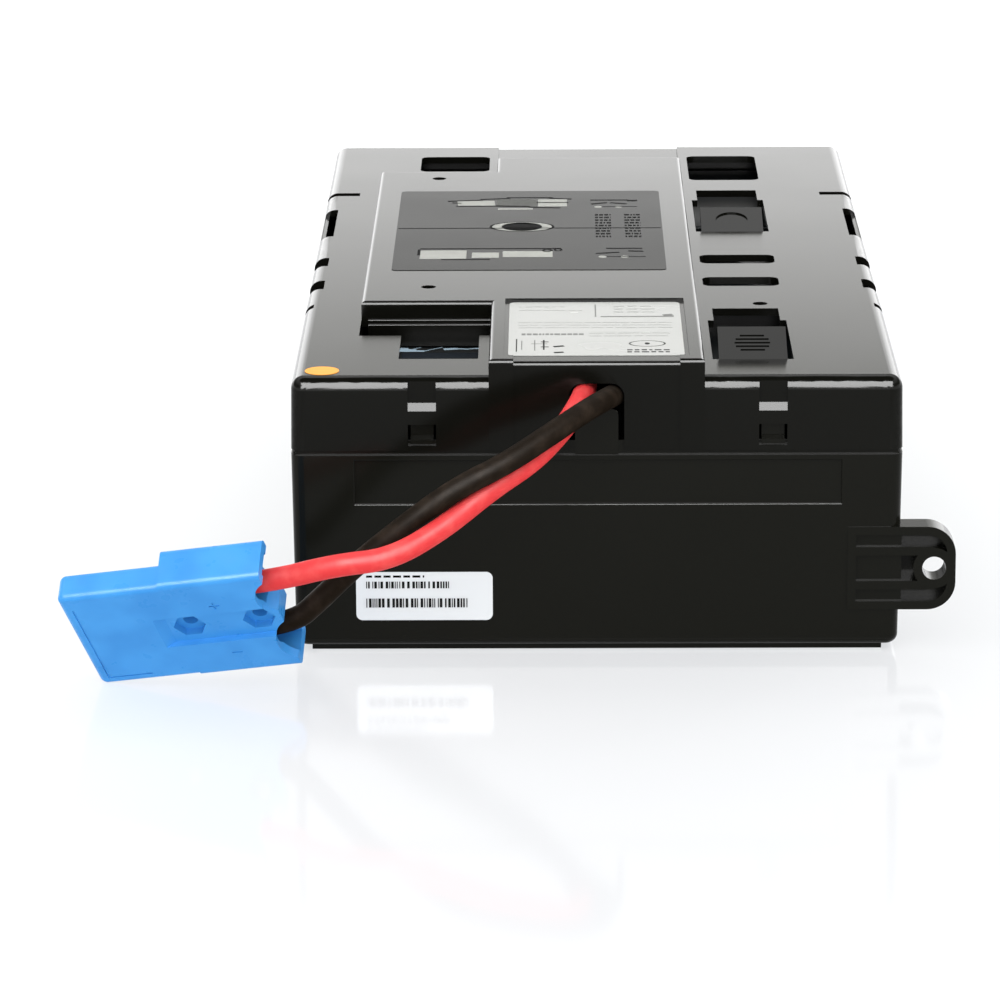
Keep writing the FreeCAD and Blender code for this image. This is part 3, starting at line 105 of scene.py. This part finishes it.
def ramp(tree, factor, *stops):
    """A colour ramp with its stops as (place, colour)."""
    node = add_node(tree, "ShaderNodeValToRGB", {"Fac": factor})
    elements = node.color_ramp.elements
    while len(elements) < len(stops):
        elements.new(1.0)
    for element, (place, value) in zip(elements, stops):
        element.position = place
        element.color = value
    return node.outputs["Color"]


def grey(value):
    """A linear grey with alpha."""
    return (value, value, value, 1.0)


def opaque(rgb):
    """A colour from the settings, with alpha."""
    return (*rgb, 1.0)


def noise(tree, size, detail=2.0, stretch=(1, 1, 1)):
    """Noise on Object coordinates whose features are about the given size in millimetres."""
    where = add_node(tree, "ShaderNodeTexCoord").outputs["Object"]
    if stretch != (1, 1, 1):
        where = add_node(tree, "ShaderNodeMapping", {"Vector": where, "Scale": stretch}).outputs[0]
    return add_node(tree, "ShaderNodeTexNoise",
                    {"Vector": where, "Scale": 1000 / size, "Detail": detail}).outputs["Fac"]


def vary(tree, shader, socket, factor, low, high):
    """Let a grey socket of the shader run from low to high with a factor."""
    spread = add_node(tree, "ShaderNodeMapRange",
                      {"Value": factor, "From Min": NOISE_LOW, "From Max": NOISE_HIGH,
                       "To Min": low, "To Max": high})
    tree.links.new(spread.outputs[0], shader.inputs[socket])


def bump(tree, shader, height, strength, distance):
    """Raise the surface by a height whose full step is the given distance in millimetres."""
    node = add_node(tree, "ShaderNodeBump",
                    {"Height": height, "Strength": strength, "Distance": mm(distance)})
    tree.links.new(node.outputs["Normal"], shader.inputs["Normal"])


# ---------------------------------------------------------------- materials


def moulded_black(name, base, rough_low, rough_high):
    """Black flame-retardant ABS, injection moulded in a polished tool.

    Nearly black in itself: what shows is a clear sheen, a little uneven where the skin of the
    moulding cooled, with faint sink waves about 60 mm apart.
    """
    material, tree, shader = new_material(name, Base_Color=colour(base), IOR=1.5,
                                          Specular_IOR_Level=0.08)
    vary(tree, shader, "Roughness", noise(tree, 40, 3.0), rough_low, rough_high)
    bump(tree, shader, noise(tree, 60, 1.0), 0.06, 0.05)
    return material


def block_plastic():
    """ABS of the blocks' cases: black, satin, with a fine grain of about 0.6 mm."""
    material, tree, shader = new_material("abs_block_case", Base_Color=colour("#080b0c"),
                                          Specular_IOR_Level=0.02)
    vary(tree, shader, "Roughness", noise(tree, 30, 2.0), 0.3, 0.36)
    bump(tree, shader, noise(tree, 0.6, 2.0), 0.1, 0.01)
    return material


def insulation(name, base, dusty, rough, gloss):
    """Silicone rubber wire insulation, extruded: soft sheen, uneven patches, a little dust."""
    material, tree, shader = new_material(name, Specular_IOR_Level=gloss)
    tint = ramp(tree, noise(tree, 5, 4.0), (0.45, base), (0.8, dusty))
    tree.links.new(tint, shader.inputs["Base Color"])
    vary(tree, shader, "Roughness", noise(tree, 4, 3.0), rough, rough + 0.15)
    bump(tree, shader, noise(tree, 1.6, 3.0), 0.25, 0.06)
    return material


def housing_blue(base, deep):
    """Blue polycarbonate of the plug, moulded: nearly even colour, satin, finely dimpled skin."""
    material, tree, shader = new_material("polycarbonate_blue", IOR=1.55,
                                          Specular_IOR_Level=0.12)
    tint = ramp(tree, noise(tree, 14, 2.0), (0.35, deep), (0.65, base))
    tree.links.new(tint, shader.inputs["Base Color"])
    vary(tree, shader, "Roughness", noise(tree, 6, 3.0), 0.26, 0.36)
    bump(tree, shader, noise(tree, 0.9, 2.0), 0.12, 0.03)
    return material


def metal(name, base, rough):
    """Sheet metal, stamped and plated: bright, with rolling marks along one way."""
    material, tree, shader = new_material(name, Base_Color=colour(base), Metallic=1.0)
    vary(tree, shader, "Roughness", noise(tree, 1.2, 3.0, (1, 8, 1)), rough, rough + 0.15)
    return material


def foam():
    """Open-cell polyurethane foam: black, without sheen, pores of about 0.8 mm."""
    material, tree, shader = new_material("polyurethane_foam", Base_Color=colour("#0d0d0e"),
                                          Specular_IOR_Level=0.1, Roughness=0.95)
    bump(tree, shader, noise(tree, 0.8, 3.0), 0.8, 0.4)
    return material


def label_stock(name, base, rough, gloss):
    """Self-adhesive film: smooth and even, lying with the faintest ripple."""
    material, tree, shader = new_material(name, Base_Color=colour(base),
                                          Specular_IOR_Level=gloss)
    vary(tree, shader, "Roughness", noise(tree, 30, 2.0), rough, rough + 0.04)
    bump(tree, shader, noise(tree, 40, 1.0), 0.05, 0.05)
    return material


def ink(name, base, rough=0.5):
    """Printing ink: a flat field with slight mottle."""
    material, tree, shader = new_material(name, Base_Color=colour(base),
                                          Specular_IOR_Level=0.03)
    vary(tree, shader, "Roughness", noise(tree, 3, 2.0), rough, rough + 0.1)
    return material


def put_on(material, *names):
    """Give CAD nodes a material."""
    for name in names:
        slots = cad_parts[name].data.materials
        slots.clear()
        slots.append(material)


def nodes_named(start):
    """The CAD nodes whose names begin alike."""
    return sorted(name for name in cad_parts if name.startswith(start))


# ---------------------------------------------------------------- modelling helpers


def start_piece(name):
    """Name the primitive just added and open it for editing."""
    piece = bpy.context.object
    piece.name = piece.data.name = name
    bpy.ops.object.mode_set(mode="EDIT")
    return piece


def finish_piece(piece, material):
    """Close the edit, set the piece's place into its mesh, and let it ride with the case."""
    bpy.ops.mesh.select_all(action="SELECT")
    bpy.ops.mesh.normals_make_consistent(inside=False)
    bpy.ops.object.mode_set(mode="OBJECT")
    bpy.ops.object.select_all(action="DESELECT")
    piece.select_set(True)
    bpy.context.view_layer.objects.active = piece
    bpy.ops.object.transform_apply(location=True, rotation=True, scale=True)
    piece.data.materials.clear()
    piece.data.materials.append(material)
    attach(piece, "root")
    return piece


def printed(name, fields, place, material, rings=()):
    """Fields of ink in mm: rectangles (x, y, width, height, angle) and rings (x, y, width,
    height, line), where a line of 0 fills the ring. They are drawn flat, given the ink's
    thickness, and set into their place.
    """
    drawn = []
    for x, y, width, height, angle in fields:
        bpy.ops.mesh.primitive_plane_add(size=mm(1), location=(mm(x), mm(y), 0),
                                         rotation=(0, 0, math.radians(angle)))
        bpy.context.object.scale = (width, height, 1)
        drawn.append(bpy.context.object)
    for x, y, width, height, line in rings:
        bpy.ops.mesh.primitive_circle_add(vertices=40, radius=mm(1), fill_type="NGON",
                                          location=(mm(x), mm(y), 0))
        bpy.context.object.scale = (width / 2, height / 2, 1)
        if line:
            bpy.ops.object.mode_set(mode="EDIT")
            bpy.ops.mesh.inset(thickness=mm(2 * line / width))
            bpy.ops.mesh.delete(type="FACE")
            bpy.ops.object.mode_set(mode="OBJECT")
        drawn.append(bpy.context.object)
    bpy.ops.object.select_all(action="DESELECT")
    for piece in drawn:
        piece.select_set(True)
    bpy.ops.object.transform_apply(location=True, rotation=True, scale=True)
    bpy.ops.object.join()
    piece = start_piece(name)
    bpy.ops.mesh.select_all(action="SELECT")
    thicken = {"value": (0, 0, mm(INK_THICKNESS))}
    bpy.ops.mesh.extrude_region_move(TRANSFORM_OT_translate=thicken)
    piece.matrix_world = place
    return finish_piece(piece, material)


# ---------------------------------------------------------------- settings


def colour_setting(name, text, description):
    """A colour that the user can change."""
    return FloatVectorProperty(name=name, description=description, default=colour(text)[:3],
                               subtype="COLOR")


class CartridgeLeads(bpy.types.PropertyGroup):
    """Size and colours of the two leads"""
    diameter: FloatProperty(name="Diameter", description="Outer diameter of the two leads",
                            default=0.0068, unit="LENGTH")
    red: colour_setting("Red", "#c73436", "Insulation of the positive lead")
    red_dust: colour_setting("Red, dusty", "#cf4a48", "The same under a little dust")
    black: colour_setting("Black", "#17110b", "Insulation of the negative lead")
    black_dust: colour_setting("Black, dusty", "#282019", "The same under a little dust")


class CartridgePlug(bpy.types.PropertyGroup):
    """Colours of the plug"""
    base: colour_setting("Housing", "#3a8acc", "Colour of the plug's housing")
    deep: colour_setting("Housing, deep", "#317fc2", "The same where it is thicker")


class CartridgeStudio(bpy.types.PropertyGroup):
    """Lights and lens of the stage"""
    softbox: FloatProperty(name="Softbox", description="Power of the light overhead",
                           default=5.4, unit="POWER")
    fill: FloatProperty(name="Fill", description="Power of the light beside the camera",
                        default=8.0, unit="POWER")
    strip: FloatProperty(name="Strip", description="Power of the panel that draws the edges",
                         default=1450.0, unit="POWER")
    lens: FloatProperty(name="Lens", description="Focal length of the camera",
                        default=188.3, unit="CAMERA")


# ---------------------------------------------------------------- leads

# Both routes run in mm from the slot in the front face, X across, Y out from it and Z up.
RED_ROUTE = ((-4.3, 0.0, 81.3), (-6.1, -13.2, 80.9), (-11.0, -23.4, 76.2), (-19.6, -34.4, 69.7),
             (-31.8, -43.9, 64.0), (-45.8, -53.9, 54.7), (-61.4, -62.7, 47.6),
             (-77.6, -63.4, 46.1))
BLACK_ROUTE = ((4.3, 0.0, 81.3), (2.2, -12.2, 83.3), (-4.2, -23.3, 82.3), (-14.6, -35.0, 78.1),
               (-27.6, -45.2, 71.9), (-42.2, -50.9, 66.0), (-57.4, -51.9, 54.9),
               (-71.8, -49.2, 42.5), (-83.4, -46.2, 30.2))

# Real lengths, in metres, from the slot to the ends in the plug.
RED_LENGTH = 0.150
BLACK_LENGTH = 0.157

# The plug's own frame: its X runs from the mating end to the leads.
PLUG_PLACE = Matrix.Translation((-0.155706, -0.22592, 0.016283)) @ (
    Matrix.Rotation(math.radians(-11.4), 4, "Z") @ Matrix.Rotation(math.radians(-9.3), 4, "Y")
    @ Matrix.Rotation(math.radians(-51.6), 4, "X"))
PLUG_BACK = 63.3  # mm along the plug, where a lead goes in
BARREL_END = 47.0  # mm along the plug, where a lead ends in its contact's barrel
PLUG_POLE = 10.9  # mm from the plug's middle to either pole
PLUG_MIDDLE = 7.05  # mm, half of the plug's thickness


def in_plug(x, y, z):
    """A place in the plug's own frame, in mm."""
    return PLUG_PLACE @ Vector((mm(x), mm(y), mm(z)))


def lead_points(route, pole):
    """A lead's way from the slot into its pole of the plug."""
    points = [Vector((mm(x), FACE + mm(y), mm(z))) for x, y, z in route]
    return points + [in_plug(along, pole * PLUG_POLE, PLUG_MIDDLE)
                     for along in (PLUG_BACK, BARREL_END)]


def lead_curve(name, points, diameter, material):
    """A round lead on one smooth spline with the route's points as its control points."""
    curve = bpy.data.curves.new(name, "CURVE")
    curve.dimensions = "3D"
    curve.bevel_depth = diameter / 2
    curve.bevel_resolution = 8
    curve.resolution_u = 16
    curve.use_fill_caps = True
    spline = curve.splines.new("NURBS")
    spline.points.add(len(points) - 1)
    for point, place in zip(spline.points, points):
        point.co = (*place, 1.0)
    spline.order_u = 3
    spline.use_endpoint_u = True
    lead = bpy.data.objects.new(name, curve)
    bpy.context.scene.collection.objects.link(lead)
    curve.materials.append(material)
    return lead


class CARTRIDGE_OT_leads(bpy.types.Operator):
    """Lay the red and the black lead from the case to the plug"""
    bl_idname = "cartridge.leads"
    bl_label = "Leads"

    def execute(self, context):
        leads = context.scene.cartridge_leads
        red = insulation("silicone_red", opaque(leads.red), opaque(leads.red_dust), 0.38, 0.06)
        black = insulation("silicone_black", opaque(leads.black), opaque(leads.black_dust),
                           0.42, 0.016)
        ways = (("red", RED_ROUTE, -1, red, RED_LENGTH),
                ("black", BLACK_ROUTE, 1, black, BLACK_LENGTH))
        for name, route, pole, material, length in ways:
            points = lead_points(route, pole)
            lead = lead_curve(f"{name}_lead_insulation", points, leads.diameter, material)
            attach(lead, "root")
            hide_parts(f"{name}_lead")
        put_on(red, "red_lead_inside")
        put_on(black, "black_lead_inside")
        return {"FINISHED"}


# ---------------------------------------------------------------- case and blocks


class CARTRIDGE_OT_shells(bpy.types.Operator):
    """Finish the tray and the cover as black mouldings"""
    bl_idname = "cartridge.shells"
    bl_label = "Shells"

    def execute(self, context):
        put_on(moulded_black("abs_tray", "#0f0f0b", 0.15, 0.18), "bottom_tray")
        put_on(moulded_black("abs_cover", "#0b0b08", 0.13, 0.15), "top_cover")
        return {"FINISHED"}


class CARTRIDGE_OT_blocks(bpy.types.Operator):
    """Finish the blocks, their tabs and receptacles, the jumpers and the foam"""
    bl_idname = "cartridge.blocks"
    bl_label = "Blocks and wiring"

    def execute(self, context):
        put_on(block_plastic(), *nodes_named("battery_case"), *nodes_named("battery_lid"))
        put_on(metal("tinned_brass", "#c9c6bd", 0.25), *nodes_named("battery_tabs"),
               *nodes_named("tab_receptacles"))
        put_on(insulation("pvc_jumper", colour("#101010"), colour("#1c1c1c"), 0.4, 0.1),
               *nodes_named("jumper"))
        put_on(foam(), "foam_pads")
        return {"FINISHED"}


class CARTRIDGE_OT_plug(bpy.types.Operator):
    """Finish the plug, its contacts and its springs"""
    bl_idname = "cartridge.plug"
    bl_label = "Plug"

    def execute(self, context):
        plug = context.scene.cartridge_plug
        put_on(housing_blue(opaque(plug.base), opaque(plug.deep)), "plug_housing")
        put_on(metal("silver_plate", "#d8d6d0", 0.18), "red_contact", "black_contact")
        put_on(metal("spring_steel", "#9a9a98", 0.22), "red_spring", "black_spring")
        return {"FINISHED"}


# ---------------------------------------------------------------- labels


def on_top(node):
    """Drawings on a node's upper face: X across, Y from the front face towards the back."""
    return Matrix.Translation((0, FACE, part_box(node)[1][2]))


def on_front(node):
    """Drawings on a node's front: X across from its left side, Y up from its lower side."""
    (left, out, low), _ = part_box(node)
    return Matrix.Translation((left, out, low)) @ Matrix.Rotation(math.radians(90), 4, "X")


BAR_WIDTHS = (0.3, 0.3, 0.5, 0.8)  # mm, the thin ones twice as often


def code_bars(left, right, bottom, top, seed):
    """Upright bars of uneven width that fill a strip."""
    draw = random.Random(seed)
    bars, x = [], left
    while x < right:
        width = draw.choice(BAR_WIDTHS)
        bars.append((x + width / 2, (bottom + top) / 2, width, top - bottom, 0))
        x += width + draw.choice(BAR_WIDTHS)
    return bars


def dashes(left, right, y, height, seed, longest=6.0, gap=1.1):
    """A row of dashes of uneven length, in place of a line of print."""
    draw = random.Random(seed)
    row, x = [], left
    while x < right:
        width = min(draw.uniform(longest / 4, longest), right - x)
        row.append((x + width / 2, y, width, height, 0))
        x += width + gap
    return row


class CARTRIDGE_OT_labels(bpy.types.Operator):
    """Lay on the labels, with plain fields of ink in place of their print"""
    bl_idname = "cartridge.labels"
    bl_label = "Labels"

    def execute(self, context):
        put_on(label_stock("polyester_label", "#a2a3a0", 0.24, 0.05), "rating_label")
        put_on(label_stock("coated_paper_label", "#cdd0d2", 0.3, 0.06), "bar_code_label")
        put_on(label_stock("tinted_film_label", "#0f0f0d", 0.17, 0.013), "safety_label")
        put_on(label_stock("orange_film_dot", "#e39a3c", 0.35, 0.03), "marker_dot")
        black, grey_ink = ink("ink_black", "#141414"), ink("ink_grey", "#6e6f6d")
        pale_grey = ink("ink_pale_grey", "#949592")

        bars = code_bars(3.1, 28.7, 10.2, 12.4, 3) + code_bars(3.1, 34.3, 4.1, 7.0, 8)
        printed("bar_code_print", bars + dashes(3.1, 21.0, 14.0, 0.7, 5, 2.6, 0.7),
                on_front("bar_code_label"), black)
        self.rating_print(black, grey_ink, pale_grey)
        self.safety_print()
        self.block_print()
        return {"FINISHED"}

    def rating_print(self, black, grey_ink, pale_grey):
        """Ruled fields, rows of dashes, a small diagram and a ring."""
        place = on_top("rating_label")
        rules = [(0.2, 69.5, 0.4, 17.0, 0), (13.3, 61.0, 23.0, 1.3, 0), (23.0, 63.0, 3.2, 2.6, 18)]
        rules += [(-22.9, 22.0, 0.3, 12.0, 0), (-18.9, 22.0, 0.3, 14.0, 0),
                  (-17.5, 24.0, 5.0, 0.5, 0)]
        rules += dashes(-23.0, -3.5, 36.8, 2.2, 12, 2.0, 0.4)
        printed("rating_rules", rules, place, grey_ink)
        pale = dashes(-24.0, -9.0, 75.0, 1.4, 1, 2.4) + dashes(-24.0, -4.0, 70.0, 1.0, 2, 7.0)
        for y, seed in ((75.5, 10), (71.5, 11), (67.5, 12)):
            pale += dashes(6.0, 19.0, y, 1.2, seed, 5.0)
        for y, seed in ((53.0, 4), (49.5, 5), (46.0, 6)):
            pale += dashes(-24.0, 24.0, y, 0.9, seed, 9.0, 0.6)
        for y, seed in ((38.4, 7), (34.6, 8)):
            pale += dashes(-2.0, 23.0, y, 1.0, seed, 9.0, 0.6)
        printed("rating_rows", pale, place, pale_grey)
        dark = dashes(9.5, 22.5, 15.6, 1.3, 10, 2.4, 0.7)
        dark += dashes(9.5, 22.5, 12.9, 1.3, 11, 2.4, 0.7)
        dark += [(-24.5, 22.0, 0.35, 17.0, 0), (-16.1, 22.5, 0.5, 13.0, 0),
                 (-15.8, 26.5, 2.4, 0.8, 0), (-15.8, 19.8, 2.4, 0.8, 0),
                 (-11.5, 20.5, 3.4, 1.6, 20), (-11.5, 12.4, 3.0, 1.6, 12)]
        printed("rating_dark", dark, place, black,
                rings=((15.8, 24.0, 11.4, 8.0, 0.5), (15.8, 24.0, 1.6, 2.6, 0)))

    def safety_print(self):
        """Plain bars, rings and strokes on the dark film, and a line of painted shade along the
        crease across it.
        """
        place = on_top("safety_label")
        light, dark = ink("ink_silver", "#93948f"), ink("ink_dark", "#080808", 0.7)
        stone = ink("ink_stone", "#4c4d4a")
        pale = [(-39.6, 232.0, 12.9, 8.0, 3), (-13.2, 232.5, 10.0, 12.0, 0),
                (-26.0, 222.5, 12.0, 2.2, 0), (-49.5, 149.0, 15.4, 13.0, 0),
                (-35.5, 148.0, 9.0, 8.0, 0), (-21.5, 149.5, 16.5, 9.0, 0)]
        dots = ((2.5, 225.5, 2.6, 3.0, 0), (9.6, 225.5, 2.6, 3.0, 0), (3.3, 145.0, 2.8, 3.2, 0),
                (10.6, 145.0, 2.8, 3.2, 0))
        printed("safety_light", pale, place, light,
                rings=((-23.6, 193.0, 20.4, 14.4, 3.4), *dots))
        printed("safety_stone", [(-25.5, 232.5, 14.0, 12.0, 0)], place, stone)
        strokes = [(-43.5, 236.5, 12.0, 1.6, 8), (-33.0, 239.5, 10.5, 1.6, 10),
                   (-21.0, 241.4, 16.0, 1.6, 0), (-10.5, 239.6, 8.0, 1.6, -12),
                   (-46.3, 232.6, 3.4, 1.4, -20), (-39.0, 227.4, 15.0, 1.6, 0),
                   (-27.0, 227.0, 12.0, 1.6, -4), (-16.0, 224.6, 11.0, 1.6, -6),
                   (-13.2, 233.0, 11.0, 1.4, 0), (-33.8, 158.0, 47.0, 1.6, 0),
                   (-57.6, 152.5, 1.0, 9.0, 0), (-42.0, 141.4, 16.0, 1.4, 0),
                   (6.4, 237.0, 13.0, 1.6, 0), (3.0, 231.5, 6.0, 1.6, 24),
                   (9.6, 231.5, 6.0, 1.6, -20), (14.4, 236.0, 3.6, 2.4, 0),
                   (10.0, 226.0, 12.0, 0.9, 0), (10.6, 158.0, 12.0, 1.6, 0),
                   (5.0, 151.0, 8.0, 1.6, 14), (14.4, 153.6, 5.0, 1.6, -8),
                   (11.0, 145.2, 13.0, 0.9, 0)]
        for column in (4.0, 14.0):
            for row in range(9):
                strokes += dashes(column - 2.7, column + 2.7, 177.0 + 4.4 * row, 2.4,
                                  row + int(column), 1.8, 0.4)
        # painted shade: the long dark line stands for the shade in the film's crease
        strokes.append((-21.0, 190.7, 89.0, 1.1, 0))
        printed("safety_dark", strokes, place, dark,
                rings=((-23.6, 193.0, 13.8, 13.6, 0), (-23.6, 193.0, 22.0, 16.0, 0.9),
                       (-15.0, 155.0, 3.6, 4.6, 0.8), (-11.4, 156.0, 3.0, 4.0, 0.7)))

    def block_print(self):
        """A band, a wedge and thin strokes on the front left block, seen through the notch."""
        place = on_top("battery_case_front_left")
        printed("block_band", [(-48.7, 67.3, 25.0, 7.6, 0)], place, ink("ink_navy", "#0b1219"))
        strokes = [(-58.0 - 1.3 * row, 73.4 + 1.7 * row, 7.8 - 2.6 * row, 1.7, 0)
                   for row in range(3)]
        strokes += [(-51.3, 76.0, 7.8, 0.5, 42), (-56.5, 77.4, 3.3, 0.5, 47),
                    (-45.8, 76.2, 4.6, 2.4, 10), (-41.8, 76.2, 3.6, 1.3, -12),
                    (-38.4, 76.6, 3.4, 1.4, 10)]
        printed("block_strokes", strokes, place, ink("ink_ice_blue", "#8fa3b0"))


# ---------------------------------------------------------------- stage


FLOOR_SIZE = 12.0  # m
FLOOR_SHADE_FULL, FLOOR_SHADE_GONE = 0.22, 0.62  # m from the middle, where the glow begins and ends its rise; nearer in, the floor holds painted shade
FLOOR_SHADE_SQUEEZE = (3.0, 1.0, 1.0)  # the patch of painted shade is a third as wide as it is deep
SENSOR_WIDTH = 36.0  # mm


def look(location, pitch, yaw=0.0, roll=0.0):
    """A place for a camera or a lamp that looks along +Y, turned by degrees."""
    turn = (Matrix.Rotation(math.radians(yaw), 4, "Z")
            @ Matrix.Rotation(math.radians(90 + pitch), 4, "X")
            @ Matrix.Rotation(math.radians(roll), 4, "Z"))
    return Matrix.Translation(location) @ turn


def area_light(name, place, size, power, diffuse=True, glossy=True):
    """A rectangular lamp that may be kept out of the diffuse or the glossy light."""
    light = bpy.data.lights.new(name, "AREA")
    light.shape = "RECTANGLE"
    light.size, light.size_y = size
    light.energy = power
    lamp = bpy.data.objects.new(name, light)
    lamp.matrix_world = place
    lamp.visible_diffuse = diffuse
    lamp.visible_glossy = glossy
    bpy.context.scene.collection.objects.link(lamp)
    return lamp


def acrylic_floor():
    """White acrylic, cast: glows, dimmer near the middle as painted shade around the object,
    darkens softly under things and mirrors them faintly.
    """
    material = bpy.data.materials.new("acrylic_floor")
    material.use_nodes = True
    tree = material.node_tree
    tree.nodes.clear()
    where = add_node(tree, "ShaderNodeTexCoord").outputs["Object"]
    squeezed = add_node(tree, "ShaderNodeMapping",
                        {"Vector": where, "Scale": FLOOR_SHADE_SQUEEZE}).outputs[0]
    away = add_node(tree, "ShaderNodeVectorMath", {0: squeezed},
                    operation="LENGTH").outputs["Value"]
    # painted shade: the glow is weaker near the object and rises to full away from it
    strength = add_node(tree, "ShaderNodeMapRange",
                        {"Value": away, "From Min": FLOOR_SHADE_FULL, "From Max": FLOOR_SHADE_GONE,
                         "To Min": 0.765, "To Max": 0.95}).outputs[0]
    pale = add_node(tree, "ShaderNodeBsdfDiffuse", {"Color": grey(0.2)})
    glow = add_node(tree, "ShaderNodeEmission", {"Color": colour("#fafcff"), "Strength": strength})
    gloss = add_node(tree, "ShaderNodeBsdfGlossy", {"Color": grey(1.0), "Roughness": 0.09})
    lit = add_node(tree, "ShaderNodeAddShader", {0: pale.outputs[0], 1: glow.outputs[0]})
    both = add_node(tree, "ShaderNodeMixShader",
                    {0: 0.2, 1: lit.outputs[0], 2: gloss.outputs[0]})
    add_node(tree, "ShaderNodeOutputMaterial", {"Surface": both.outputs[0]})
    return material


def studio_world():
    """Pale walls low down, which the top mirrors, a dim band above them, and a pale ring
    around a dark middle overhead.
    """
    world = bpy.data.worlds.new("studio")
    world.use_nodes = True
    sky = world.node_tree
    sky.nodes.clear()
    way = add_node(sky, "ShaderNodeTexCoord").outputs["Generated"]
    height = add_node(sky, "ShaderNodeSeparateXYZ", {"Vector": way}).outputs["Z"]
    bright = ramp(sky, height, (0.19, grey(1.0)), (0.236, colour("#94948e")),
                  (0.30, grey(0.09)), (0.37, grey(0.14)), (0.5, grey(0.18)), (0.6, grey(0.6)),
                  (0.83, grey(1.0)), (0.9, grey(0.02)))
    background = add_node(sky, "ShaderNodeBackground", {"Color": bright, "Strength": 3.2})
    add_node(sky, "ShaderNodeOutputWorld", {"Surface": background.outputs[0]})
    return world


class CARTRIDGE_OT_stage(bpy.types.Operator):
    """Set up the pale floor, the soft lights and the camera"""
    bl_idname = "cartridge.stage"
    bl_label = "Stage"

    def execute(self, context):
        studio = context.scene.cartridge_studio
        bpy.ops.object.select_all(action="DESELECT")
        bpy.ops.mesh.primitive_plane_add(size=FLOOR_SIZE, location=(0, 0, 0))
        floor = context.object
        floor.name = "floor"
        floor.data.materials.append(acrylic_floor())

        area_light("softbox", look((0, 0, 1.25), -90), (1.6, 1.6), studio.softbox, glossy=False)
        area_light("fill", look((-0.3, -1.9, 1.0), -26), (1.6, 1.0), studio.fill, glossy=False)
        strip = area_light("strip", look((0, -2.2, 1.65), -36), (3.0, 2.4), studio.strip,
                           diffuse=False)
        # The strip draws the edges of the object and stays out of the floor.
        shaded = bpy.data.collections.new("out_of_the_strip")
        shaded.objects.link(floor)
        shaded.collection_objects[0].light_linking.link_state = "EXCLUDE"
        strip.light_linking.receiver_collection = shaded
        context.scene.world = studio_world()

        camera = bpy.data.cameras.new("camera")
        camera.lens = studio.lens
        camera.sensor_width = SENSOR_WIDTH
        viewer = bpy.data.objects.new("camera", camera)
        viewer.matrix_world = look((-0.0142, FACE - 1.5459, 0.4631), -15.0, 0.571, -0.296)
        context.scene.collection.objects.link(viewer)
        context.scene.camera = viewer
        context.scene.view_settings.view_transform = "Standard"
        return {"FINISHED"}


# ---------------------------------------------------------------- panel and registration


class CARTRIDGE_PT_panel(bpy.types.Panel):
    """Lists the cartridge's pieces and settings"""
    bl_label = "Battery Cartridge"
    bl_idname = "CARTRIDGE_PT_panel"
    bl_space_type = "VIEW_3D"
    bl_region_type = "UI"
    bl_category = "Cartridge"

    def draw(self, context):
        layout = self.layout
        for operator in OPERATORS:
            layout.operator(operator.bl_idname)
        for group in ("cartridge_leads", "cartridge_plug", "cartridge_studio"):
            owner = getattr(context.scene, group)
            for name in owner.bl_rna.properties.keys():
                if name not in ("rna_type", "name"):
                    layout.prop(owner, name)


OPERATORS = (CARTRIDGE_OT_stage, CARTRIDGE_OT_leads, CARTRIDGE_OT_shells, CARTRIDGE_OT_blocks,
             CARTRIDGE_OT_plug, CARTRIDGE_OT_labels)
GROUPS = {"cartridge_leads": CartridgeLeads, "cartridge_plug": CartridgePlug,
          "cartridge_studio": CartridgeStudio}


def register():
    for group in GROUPS.values():
        bpy.utils.register_class(group)
    for name, group in GROUPS.items():
        setattr(bpy.types.Scene, name, PointerProperty(type=group))
    for kind in (*OPERATORS, CARTRIDGE_PT_panel):
        bpy.utils.register_class(kind)


def unregister():
    for kind in (CARTRIDGE_PT_panel, *reversed(OPERATORS)):
        bpy.utils.unregister_class(kind)
    for name, group in GROUPS.items():
        delattr(bpy.types.Scene, name)
        bpy.utils.unregister_class(group)


def main():
    register()
    for operator in OPERATORS:
        group, name = operator.bl_idname.split(".")
        getattr(getattr(bpy.ops, group), name)()


if __name__ == "__main__":
    main()
